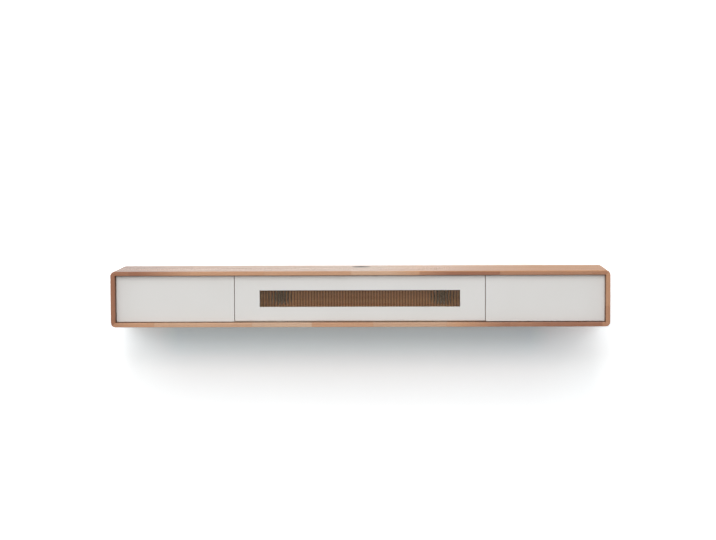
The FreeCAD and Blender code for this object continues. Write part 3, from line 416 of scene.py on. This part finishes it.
def along_one_axis(axis, along, across):
    """A scale for each axis that draws a pattern out along one of them: 0, 1 or 2."""
    scale = [across, across, across]
    scale[axis] = along
    return scale


def fine_timber(name, pale, dark, axis, rough=0.55):
    """Plain timber or veneer whose grain runs along one axis: 0, 1 or 2."""
    timber = Finish(name)
    wide = timber.scaled(timber.place, along_one_axis(axis, 1.6, 48.0))
    close = timber.scaled(timber.place, along_one_axis(axis, 14.0, 460.0))
    figure = timber.noise(wide, detail=3.0, roughness=0.55, distortion=0.35)
    fibres = timber.noise(close, roughness=0.6)
    ground = timber.blend(timber.spread(figure, 0.35, 0.68, 0.0, 0.75, smooth=True), pale, dark)
    timber.colour(timber.blend(timber.spread(fibres, 0.4, 0.8, 0.0, 0.35), ground, dark))
    timber.roughness(timber.spread(fibres, 0.3, 0.8, rough, rough + 0.12))
    timber.bump(fibres, depth=0.00012, strength=0.5)
    return timber.material


def reeded_glass():
    """Bronze tinted glass, a little hazy, that lets lamps light the shelf behind it."""
    glass = Finish("reeded glass", Transmission_Weight=0.965, IOR=1.2)
    # Painted shade for the valleys between the reeds.
    painted_valley_shade = (0.56, 0.43, 0.30, 1)
    crest_tint = (0.97, 0.78, 0.57, 1)
    cloud_tint = (0.72, 0.56, 0.40, 1)
    clear_tint = (0.97, 0.96, 0.94, 1)
    wave = glass.noise(glass.place, scale=26.0)
    haze = glass.noise(glass.place, scale=900.0, detail=0.0)
    # Painted shade: the tint is deeper in the valleys between the reeds than on their crests.
    x, _, _ = glass.axes()
    reeds_in = glass.math("DIVIDE", glass.add(x, -pane_left), reed_pitch)
    off_valley = glass.math("PINGPONG", reeds_in, 0.5)
    on_crest = glass.spread(off_valley, 0.0, 0.42, 0.0, 1.0, smooth=True)
    tint = glass.blend(on_crest, painted_valley_shade, crest_tint)
    glass.colour(glass.blend(glass.spread(wave, 0.3, 0.7, 0.0, 0.3), tint, cloud_tint))
    glass.roughness(glass.spread(haze, 0.3, 0.8, 0.10, 0.18))
    glass.bump(wave, depth=0.0002, strength=0.4)
    clear = glass.lay("ShaderNodeBsdfTransparent", {"Color": clear_tint}).outputs[0]
    ray = glass.lay("ShaderNodeLightPath").outputs
    lets_light_by = glass.larger(ray["Is Shadow Ray"], ray["Is Diffuse Ray"])
    glass.surface(glass.mixed(lets_light_by, glass.shader.outputs[0], clear))
    return glass.material


def drawn_metal(name, pale, dark, axis, rough):
    """Rolled or extruded metal with die lines along one axis: 0, 1 or 2."""
    metal = Finish(name, Metallic=1.0)
    lines_at = metal.scaled(metal.place, along_one_axis(axis, 6.0, 700.0))
    lines = metal.noise(lines_at, roughness=0.6)
    haze = metal.noise(metal.place, scale=12.0)
    ground = metal.blend(metal.spread(haze, 0.3, 0.7, 0.0, 0.35, smooth=True), pale, dark)
    metal.colour(metal.blend(metal.spread(lines, 0.4, 0.75, 0.0, 0.5), ground, dark))
    worn = metal.add(lines, metal.times(haze, 0.3))
    metal.roughness(metal.spread(worn, 0.4, 0.9, rough, rough + 0.12))
    metal.bump(lines, depth=0.00003, strength=0.6)
    return metal.material


def zinc_plate():
    """Bright zinc plating: a soft spangle, small scuffs."""
    zinc = Finish("bright zinc plate", Metallic=1.0)
    spangle = zinc.lay("ShaderNodeTexVoronoi", {"Vector": zinc.place, "Scale": 520.0})
    lots = zinc.lay("ShaderNodeSeparateColor", {"Color": spangle.outputs["Color"]}).outputs
    haze = zinc.noise(zinc.place, scale=90.0, detail=3.0)
    scuffs = zinc.noise(zinc.scaled(zinc.place, (60.0, 1400.0, 900.0), turn=(0.4, 0.2, 0.9)))
    ground = zinc.blend(lots[0], rgb(214, 217, 221), rgb(198, 202, 208))
    zinc.colour(zinc.blend(zinc.spread(haze, 0.45, 0.7, 0.0, 0.3), ground, rgb(172, 175, 180)))
    scuffed = zinc.spread(scuffs, 0.3, 0.8, 0.32, 0.44)
    zinc.roughness(zinc.add(scuffed, zinc.times(lots[0], 0.05)))
    zinc.bump(scuffs, depth=0.00002, strength=0.6)
    return zinc.material


def polished_steel():
    """Bright steel of the balls and their cages, under a thin film of grease."""
    steel = Finish("polished steel", Metallic=1.0)
    haze = steel.noise(steel.place, scale=160.0, detail=3.0)
    film = steel.noise(steel.place, scale=30.0, detail=1.0)
    greased = steel.spread(film, 0.35, 0.65, 0.0, 1.0)
    steel.colour(steel.blend(greased, rgb(206, 207, 210), rgb(188, 188, 190)))
    steel.roughness(steel.spread(haze, 0.35, 0.7, 0.12, 0.26))
    steel.bump(haze, depth=0.00001, strength=0.4)
    return steel.material


def moulded_plastic(name, shade, worn, rough):
    """Injection-moulded plastic with a spark-eroded texture."""
    plastic = Finish(name)
    texture = plastic.noise(plastic.place, scale=1400.0, roughness=0.6)
    cloud = plastic.noise(plastic.place, scale=45.0)
    plastic.colour(plastic.blend(plastic.spread(cloud, 0.35, 0.7, 0.0, 1.0), shade, worn))
    plastic.roughness(plastic.spread(texture, 0.3, 0.7, rough, rough + 0.12))
    plastic.bump(texture, depth=0.00006, strength=0.6)
    return plastic.material


sideways, front_to_back = 0, 1
birch, birch_grain = rgb(222, 196, 158), rgb(190, 154, 112)

staves_along = jointed_staves("jointed staves", "along")
staves_upright = jointed_staves("jointed staves upright", "upright")
lacquer = matt_lacquer()
glass = reeded_glass()
drawer_wood_deep = fine_timber("drawer sides", birch, birch_grain, front_to_back)
drawer_wood_wide = fine_timber("drawer fronts and backs", birch, birch_grain, sideways)
back_veneer = fine_timber("back veneer", rgb(222, 176, 136), rgb(192, 142, 104), sideways)
divider_veneer = fine_timber("divider veneer", rgb(222, 172, 128), rgb(190, 136, 94), front_to_back)
raw_beech = fine_timber("raw beech", rgb(214, 182, 144), rgb(178, 136, 98), sideways, 0.62)
aluminium = drawn_metal("mill aluminium", rgb(206, 208, 211), rgb(172, 174, 178), sideways, 0.30)
zinc = zinc_plate()
bearing = polished_steel()
dark_plastic = moulded_plastic("dark plastic", rgb(74, 73, 71), rgb(88, 86, 83), 0.46)
grey_plastic = moulded_plastic("grey plastic", rgb(150, 151, 153), rgb(164, 165, 166), 0.38)


def dress(finish, *names):
    """Gives CAD nodes one finish, in place of what they came with."""
    for name in names:
        for slot in nodes[name].material_slots:
            slot.material = finish


# ---------------------------------------------------------------- Geometry Nodes
def new_tree(name, inputs):
    """An empty tree with named inputs; gives its bench and what the inputs put out."""
    tree = bpy.data.node_groups.new(name, "GeometryNodeTree")
    tree.interface.new_socket(name="Geometry", in_out="INPUT", socket_type="NodeSocketGeometry")
    for label, kind in inputs.items():
        tree.interface.new_socket(name=label, in_out="INPUT", socket_type="NodeSocket" + kind)
    tree.interface.new_socket(name="Geometry", in_out="OUTPUT", socket_type="NodeSocketGeometry")
    bench = Bench(tree)
    return bench, bench.lay("NodeGroupInput").outputs


def end_tree(bench, geometry, material):
    """Makes plain geometry of what the tree has built, gives it its material and puts it out."""
    whole = bench.lay("GeometryNodeRealizeInstances", {"Geometry": geometry})
    painted = bench.lay(
        "GeometryNodeSetMaterial", {"Geometry": whole.outputs["Geometry"], "Material": material}
    )
    bench.lay("NodeGroupOutput", {"Geometry": painted.outputs["Geometry"]})
    return bench.tree


def grown(name, mesh, tree, values):
    """Runs the tree on a mesh once and keeps what it makes as a plain mesh object."""
    seed = new_object(name + "_seed", mesh)
    modifier = seed.modifiers.new("grow", "NODES")
    modifier.node_group = tree
    sockets = {s.name: s.identifier for s in tree.interface.items_tree if s.in_out == "INPUT"}
    for label, value in values.items():
        modifier[sockets[label]] = value
    bpy.context.view_layer.update()
    graph = bpy.context.evaluated_depsgraph_get()
    made = bpy.data.meshes.new_from_object(seed.evaluated_get(graph), depsgraph=graph)
    made.name = name
    seed.modifiers.remove(modifier)
    bpy.data.objects.remove(seed)
    return new_object(name, made)


def smooth_between(piece, degrees):
    """Shades a piece smooth, but for the edges sharper than this angle."""
    piece.data.shade_smooth()
    piece.data.set_sharp_from_angle(angle=math.radians(degrees))


# ---------------------------------------------------------------- the reeded pane
def reed_tree():
    """A pane whose front is a row of rounded reeds: its section, filled and drawn upward."""
    bench, given = new_tree(
        "reeded pane",
        {
            "Lowest Corner": "Vector",
            "Width": "Float",
            "Height": "Float",
            "Thickness": "Float",
            "Reed Depth": "Float",
            "Reeds": "Int",
            "Steps in a Reed": "Int",
            "Glass": "Material",
        },
    )
    # The section's points run along the front from the left, one more than there are steps,
    # and then come the right and the left corner of the back.
    steps = bench.times(given["Reeds"], given["Steps in a Reed"])
    section = bench.lay(
        "GeometryNodeMeshLine", {"Count": bench.add(steps, 3.0), "Offset": (0, 0, 0)}
    )
    index = bench.lay("GeometryNodeInputIndex").outputs["Index"]
    on_front = bench.math("LESS_THAN", index, bench.add(steps, 0.5))
    on_back = bench.math("SUBTRACT", 1.0, on_front)
    not_last = bench.math("LESS_THAN", index, bench.add(steps, 1.5))
    x_share = bench.add(
        bench.times(on_front, bench.math("DIVIDE", index, steps)),
        bench.times(on_back, not_last),
    )
    in_reed = bench.math("FRACT", bench.math("DIVIDE", index, given["Steps in a Reed"]))
    off_crest = bench.math("SUBTRACT", bench.times(in_reed, 2.0), 1.0)
    rise = bench.math("SUBTRACT", 1.0, bench.times(off_crest, off_crest))
    valley = bench.times(given["Reed Depth"], bench.math("SUBTRACT", 1.0, rise))
    y = bench.add(bench.times(on_front, valley), bench.times(on_back, given["Thickness"]))
    spot = bench.vector(bench.times(x_share, given["Width"]), y, 0.0)
    shaped = bench.lay(
        "GeometryNodeSetPosition", {"Geometry": section.outputs["Mesh"], "Position": spot}
    )
    curve = bench.lay("GeometryNodeMeshToCurve", {"Mesh": shaped.outputs["Geometry"]})
    closed = bench.lay(
        "GeometryNodeSetSplineCyclic", {"Geometry": curve.outputs["Curve"], "Cyclic": True}
    )
    sheet = bench.lay("GeometryNodeFillCurve", {"Curve": closed.outputs["Geometry"]})
    drawn = bench.lay(
        "GeometryNodeExtrudeMesh",
        {
            "Mesh": sheet.outputs["Mesh"],
            "Offset": bench.vector(0.0, 0.0, 1.0),
            "Offset Scale": given["Height"],
            "Individual": False,
        },
        mode="FACES",
    )
    under = bench.lay("GeometryNodeFlipFaces", {"Mesh": sheet.outputs["Mesh"]})
    joined = bench.join(drawn.outputs["Mesh"], under.outputs["Mesh"])
    merged = bench.lay("GeometryNodeMergeByDistance", {"Geometry": joined, "Distance": same_point})
    placed = bench.lay(
        "GeometryNodeTransform",
        {"Geometry": merged.outputs["Geometry"], "Translation": given["Lowest Corner"]},
    )
    return end_tree(bench, placed.outputs["Geometry"], given["Glass"])


def make_pane():
    corner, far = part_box("flap_glass")
    pane = grown(
        "reeded_pane",
        bpy.data.meshes.new("pane seed"),
        reed_tree(),
        {
            "Lowest Corner": tuple(corner),
            "Width": far.x - corner.x,
            "Height": far.z - corner.z,
            "Thickness": far.y - corner.y,
            "Reed Depth": reed_depth,
            "Reeds": reed_count,
            "Steps in a Reed": steps_in_a_reed,
            "Glass": glass,
        },
    )
    shell = bmesh.new()
    shell.from_mesh(pane.data)
    bmesh.ops.recalc_face_normals(shell, faces=shell.faces)
    shell.to_mesh(pane.data)
    shell.free()
    smooth_between(pane, 30)
    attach(pane, "flap")
    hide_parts("flap_glass")


# ---------------------------------------------------------------- screws
def loose_parts(name):
    """The places of the vertices of each separate solid of a CAD node, in a fixed order."""
    copy = bmesh.new()
    copy.from_mesh(nodes[name].data)
    bmesh.ops.remove_doubles(copy, verts=copy.verts, dist=same_point)
    parts = []
    unseen = set(copy.verts)
    while unseen:
        reached = [unseen.pop()]
        part = []
        while reached:
            vertex = reached.pop()
            part.append(vertex.co.copy())
            for edge in vertex.link_edges:
                other = edge.other_vert(vertex)
                if other in unseen:
                    unseen.remove(other)
                    reached.append(other)
        parts.append(part)
    copy.free()
    return sorted(parts, key=lambda part: tuple(round(v, 5) for v in min(tuple(p) for p in part)))


def screw_stands(part):
    """Where a CAD screw's head face is, which way it points, its length and head radius."""
    corner = Vector(min(p[k] for p in part) for k in range(3))
    far = Vector(max(p[k] for p in part) for k in range(3))
    size = far - corner
    axis = max(range(3), key=lambda k: size[k])
    others = [k for k in range(3) if k != axis]
    middle = (corner + far) / 2

    def width_at(end):
        """The largest squared distance from the screw's axis at one of its ends."""
        near = [p for p in part if abs(p[axis] - end) < same_face]
        return max((p - middle).dot(p - middle) - (p[axis] - middle[axis]) ** 2 for p in near)

    head_at, tip_at = corner[axis], far[axis]
    if width_at(tip_at) > width_at(head_at):
        head_at, tip_at = tip_at, head_at
    head = middle.copy()
    head[axis] = head_at
    pointing = Vector((0, 0, 0))
    pointing[axis] = 1.0 if tip_at > head_at else -1.0
    return head, pointing, size[axis], max(size[k] for k in others) / 2


def screw_tree():
    """Countersunk cross-head screws, one on each point of the mesh it is given."""
    bench, given = new_tree(
        "cross-head screws",
        {
            "Head Radius": "Float",
            "Head Height": "Float",
            "Shank Radius": "Float",
            "Recess Width": "Float",
            "Recess Depth": "Float",
            "Seed": "Int",
            "Metal": "Material",
        },
    )
    cone = bench.lay(
        "GeometryNodeMeshCone",
        {
            "Vertices": head_sides,
            "Radius Top": given["Shank Radius"],
            "Radius Bottom": given["Head Radius"],
            "Depth": given["Head Height"],
        },
    )
    arm = bench.times(given["Head Radius"], recess_reach)
    double_depth = bench.times(given["Recess Depth"], 2.0)
    one_bar = bench.vector(arm, given["Recess Width"], double_depth)
    other_bar = bench.vector(given["Recess Width"], arm, double_depth)
    cut = bench.lay(
        "GeometryNodeMeshBoolean", {"Mesh 1": cone.outputs["Mesh"]}, operation="DIFFERENCE"
    )
    for size in (one_bar, other_bar):
        bar = bench.lay("GeometryNodeMeshCube", {"Size": size})
        bench.feed(cut.inputs["Mesh 2"], bar.outputs["Mesh"])

    pointing = bench.lay(
        "GeometryNodeInputNamedAttribute", {"Name": "pointing"}, data_type="FLOAT_VECTOR"
    )
    reach = bench.lay("GeometryNodeInputNamedAttribute", {"Name": "reach"}, data_type="FLOAT")
    aligned = bench.lay(
        "FunctionNodeAlignRotationToVector", {"Vector": pointing.outputs["Attribute"]}, axis="Z"
    )
    # Sockets 2 and 3 hold the least and the most of a random number.
    spin = bench.lay(
        "FunctionNodeRandomValue",
        {"Seed": given["Seed"], 2: 0.0, 3: math.pi / 2},
        data_type="FLOAT",
    )
    spin_value = next(s for s in spin.outputs if s.type == "VALUE")
    spun = bench.lay(
        "FunctionNodeAxisAngleToRotation", {"Axis": (0.0, 0.0, 1.0), "Angle": spin_value}
    )
    turned_by = bench.lay(
        "FunctionNodeRotateRotation",
        {"Rotation": aligned.outputs["Rotation"], "Rotate By": spun.outputs["Rotation"]},
        rotation_space="LOCAL",
    )
    heads = bench.lay(
        "GeometryNodeInstanceOnPoints",
        {
            "Points": given["Geometry"],
            "Instance": cut.outputs["Mesh"],
            "Rotation": turned_by.outputs["Rotation"],
        },
    )
    # A shank one metre long, stood on its end, is scaled to each screw's own reach.
    rod = bench.lay(
        "GeometryNodeMeshCylinder",
        {"Vertices": shank_sides, "Radius": given["Shank Radius"], "Depth": 1.0},
    )
    stood = bench.lay(
        "GeometryNodeTransform", {"Geometry": rod.outputs["Mesh"], "Translation": (0.0, 0.0, 0.5)}
    )
    shanks = bench.lay(
        "GeometryNodeInstanceOnPoints",
        {
            "Points": given["Geometry"],
            "Instance": stood.outputs["Geometry"],
            "Rotation": aligned.outputs["Rotation"],
            "Scale": bench.vector(1.0, 1.0, reach.outputs["Attribute"]),
        },
    )
    lifted = bench.lay(
        "GeometryNodeTranslateInstances",
        {
            "Instances": shanks.outputs["Instances"],
            "Translation": bench.vector(0.0, 0.0, given["Head Height"]),
            "Local Space": True,
        },
    )
    joined = bench.join(heads.outputs["Instances"], lifted.outputs["Instances"])
    return end_tree(bench, joined, given["Metal"])


cross_heads = screw_tree()


def make_screws(name, body, *replaced):
    stands = [screw_stands(part) for node in replaced for part in loose_parts(node)]
    heads, ways, lengths, radii = zip(*stands)
    points = bpy.data.meshes.new(name + " points")
    points.from_pydata([tuple(head) for head in heads], [], [])
    points.attributes.new("pointing", "FLOAT_VECTOR", "POINT")
    points.attributes.new("reach", "FLOAT", "POINT")
    for i, (way, length) in enumerate(zip(ways, lengths)):
        points.attributes["pointing"].data[i].vector = way
        points.attributes["reach"].data[i].value = length - head_height
    radius = radii[0]
    piece = grown(
        name,
        points,
        cross_heads,
        {
            "Head Radius": radius,
            "Head Height": head_height,
            "Shank Radius": radius * shank_share,
            "Recess Width": radius * recess_share,
            "Recess Depth": head_height * recess_deep,
            "Seed": turn_seed,
            "Metal": zinc,
        },
    )
    smooth_between(piece, 40)
    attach(piece, body)
    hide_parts(*replaced)


# ---------------------------------------------------------------- room and light
def stage_sheet(name, corners, finish):
    mesh = bpy.data.meshes.new(name)
    mesh.from_pydata(corners, [], [(0, 1, 2, 3)])
    mesh.materials.append(finish)
    sheet = new_object(name, mesh)
    return sheet


def one_sided(paint, coat, glow_strength):
    """Matt paint that keeps a shadow, and isn't seen from behind."""
    matt = paint.lay("ShaderNodeBsdfDiffuse", {"Color": coat})
    glow = paint.lay(
        "ShaderNodeEmission",
        {"Color": (1, 1, 1, 1), "Strength": paint.times(paint.seen(), glow_strength)},
    )
    lit = paint.lay("ShaderNodeAddShader", {0: matt.outputs[0], 1: glow.outputs[0]})
    behind = paint.lay("ShaderNodeNewGeometry").outputs["Backfacing"]
    clear = paint.lay("ShaderNodeBsdfTransparent")
    paint.surface(paint.mixed(behind, lit.outputs[0], clear.outputs[0]))
    paint.tree.nodes.remove(paint.shader)
    return paint.material


def floor_paint():
    """Pale floor: it keeps the shadow near the console and fades to white away from it, by a
    painted glow that grows with distance.
    """
    paint = Finish("floor paint")
    mottle = paint.noise(paint.place, scale=2.0)
    coat = paint.blend(mottle, (0.735, 0.74, 0.74, 1), (0.75, 0.755, 0.755, 1))
    away = paint.lay("ShaderNodeVectorMath", {0: paint.place}, operation="LENGTH").outputs["Value"]
    # Painted light: a glow where the floor is seen, weaker near the console and stronger away from
    # it.
    return one_sided(paint, coat, paint.spread(away, 1.6, 3.6, 0.50, 0.85, smooth=True))


def wall_with_painted_light_and_shade(painted_shade_foot, painted_shade_head):
    """White wall, toned by its place: painted shade, cooler, close under the console; painted light
    past its ends, well below it and far off to the sides; painted shade, near black, where the
    console's back hides the wall."""
    paint = Finish("wall paint")
    x, _, z = paint.axes()
    off_middle = paint.size_of(x)
    off_shadow_middle = paint.size_of(paint.add(x, 0.03))
    painted_shade_under = paint.times(
        paint.spread(z, under_face - 0.19, under_face - 0.06, 0.0, 1.0),
        paint.spread(z, under_face + 0.02, under_face + 0.06, 1.0, 0.0),
    )
    # Painted light at the ends of the console's shadow, stronger near the console.
    near_end = paint.spread(z, under_face - 0.13, under_face - 0.03, 0.0, 1.0)
    painted_light_at_ends = paint.blend(near_end, (1.14, 1.17, 1.18, 1), (1.48, 1.56, 1.60, 1))
    mottle = paint.noise(paint.place, scale=2.0)
    coat = (1.10, 1.12, 1.13, 1)
    # Painted shade close under the console, and painted light past its ends, well below it and far
    # off to the sides; the faint mottle is the paint's own.
    for share, tone in (
        (painted_shade_under, (0.82, 0.95, 1.01, 1)),
        (paint.spread(off_shadow_middle, 0.66, 0.90, 0.0, 1.0), painted_light_at_ends),
        (paint.spread(off_middle, 0.86, 1.10, 0.0, 1.0), (1.60, 1.62, 1.63, 1)),
        (paint.spread(z, under_face - 0.60, under_face - 0.32, 1.0, 0.0), (1.6, 1.6, 1.6, 1)),
        (paint.spread(off_middle, 1.1, 1.8, 0.0, 1.0), (2.4, 2.4, 2.4, 1)),
        (paint.spread(mottle, 0.0, 1.0, 0.0, 0.02), (1, 1, 1, 1)),
    ):
        coat = paint.blend(share, coat, tone)
    # Painted shade: near black where the console's back hides the wall.
    beside = paint.math("GREATER_THAN", off_middle, painted_shade_head.x)
    below = paint.math("LESS_THAN", z, painted_shade_foot.z)
    above = paint.math("GREATER_THAN", z, painted_shade_head.z)
    outside_painted_back_shade = paint.larger(beside, paint.larger(below, above))
    return one_sided(paint, paint.blend(outside_painted_back_shade, (0.04, 0.03, 0.025, 1), coat), 0.0)


def set_room():
    floor_level = under_face - floor_drop
    half, reach, rise = room_half_width, room_depth, wall_top
    back = wall_plane + wall_gap
    wall = stage_sheet(
        "wall",
        [
            (half, back, floor_level),
            (half, back, rise),
            (-half, back, rise),
            (-half, back, floor_level),
        ],
        wall_with_painted_light_and_shade(*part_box("back_panel")),
    )
    wall.visible_shadow = False
    wall.visible_diffuse = False
    wall.visible_glossy = False
    floor = stage_sheet(
        "floor",
        [
            (-half, -reach, floor_level),
            (half, -reach, floor_level),
            (half, reach, floor_level),
            (-half, reach, floor_level),
        ],
        floor_paint(),
    )
    floor.visible_shadow = False
    floor.visible_diffuse = False


def softbox(name, place, aim, width, height, power, mirrored=False):
    """A lamp behind a white cloth, seen in reflections only where it says so."""
    lamp = bpy.data.lights.new(name, "AREA")
    lamp.shape = "RECTANGLE"
    lamp.size = width
    lamp.size_y = height
    lamp.energy = power
    box = new_object(name, lamp)
    way = Vector(aim) - Vector(place)
    box.matrix_world = Matrix.Translation(place) @ way.to_track_quat("-Z", "Y").to_matrix().to_4x4()
    box.visible_camera = False
    box.visible_glossy = mirrored


def set_light():
    softbox(
        "key softbox",
        place=(-0.6, -4.3, 2.5),
        aim=(0.0, -0.15, -0.1),
        width=10.0,
        height=2.9,
        power=185.0,
        mirrored=True,
    )
    softbox(
        "front softbox",
        place=(-0.4, -6.4, 0.9),
        aim=(0.0, -0.3, -0.05),
        width=5.0,
        height=1.6,
        power=62.0,
    )
    softbox(
        "top softbox",
        place=(-0.2, -0.5, 3.0),
        aim=(-0.2, -0.2, 0.0),
        width=4.0,
        height=1.5,
        power=17.0,
    )
    for sign in (-1, 1):
        softbox(
            "end softbox",
            place=(sign * 4.6, -0.9, 0.7),
            aim=(sign * 0.9, -0.15, -0.05),
            width=2.0,
            height=2.0,
            power=34.0,
        )
    softbox(
        "rear softbox",
        place=(-0.8, 4.2, 0.9),
        aim=(0.0, 0.0, -0.05),
        width=5.0,
        height=2.0,
        power=95.0,
    )


def set_world():
    """Plain white where it is seen, and dimmer as a light."""
    world = bpy.data.worlds.new("plain white")
    bpy.context.scene.world = world
    world.use_nodes = True
    bench = Bench(world.node_tree)
    background = world.node_tree.nodes["Background"]
    bench.feed(background.inputs["Color"], (1, 1, 1, 1))
    bench.feed(background.inputs["Strength"], bench.spread(bench.seen(), 0.0, 1.0, 0.42, 1.0))
    bpy.context.scene.view_settings.view_transform = "Standard"


# ---------------------------------------------------------------- putting it together
set_camera()
set_room()
set_light()
set_world()

dress(staves_along, "top_panel", "bottom_panel")
dress(staves_upright, "left_side_panel", "right_side_panel")
dress(lacquer, "left_drawer_front", "right_drawer_front", "flap_frame", "flap_glass_beads")
dress(back_veneer, "back_panel")
dress(divider_veneer, "left_divider", "right_divider")
dress(raw_beech, "wall_spacer_batten", "mitre_splines", "panel_dowels")
dress(aluminium, "wall_cleat", "cabinet_cleat")
dress(grey_plastic, "push_latch_bodies", "stay_bodies")
dress(
    dark_plastic,
    "top_grommet_liner",
    "top_grommet_cap",
    "back_cable_liners",
    "flap_latch_plunger",
    "left_drawer_latch_plunger",
    "right_drawer_latch_plunger",
)
dress(
    zinc,
    "flap_pivot_pins",
    "flap_pivot_plates",
    "flap_stay_brackets",
    "stay_body_pins",
    "stay_arms",
    "stay_arm_pins",
    "stay_links",
)
for side in ("left", "right"):
    dress(drawer_wood_deep, f"{side}_drawer_left_side", f"{side}_drawer_right_side")
    dress(
        drawer_wood_wide,
        f"{side}_drawer_inner_front",
        f"{side}_drawer_back",
        f"{side}_drawer_bottom",
        f"{side}_drawer_dowels",
    )
    dress(
        zinc,
        f"{side}_runner_outer_members",
        f"{side}_runner_middle_members",
        f"{side}_runner_inner_members",
    )
    dress(bearing, f"{side}_outer_ball_cages", f"{side}_inner_ball_cages")

make_pane()
make_screws("console_screws", "console", "back_screws", "fitting_screws")
make_screws("flap_screws", "flap", "flap_bracket_screws")
for side in ("left", "right"):
    make_screws(f"{side}_front_screws", f"{side}_drawer", f"{side}_drawer_screws")
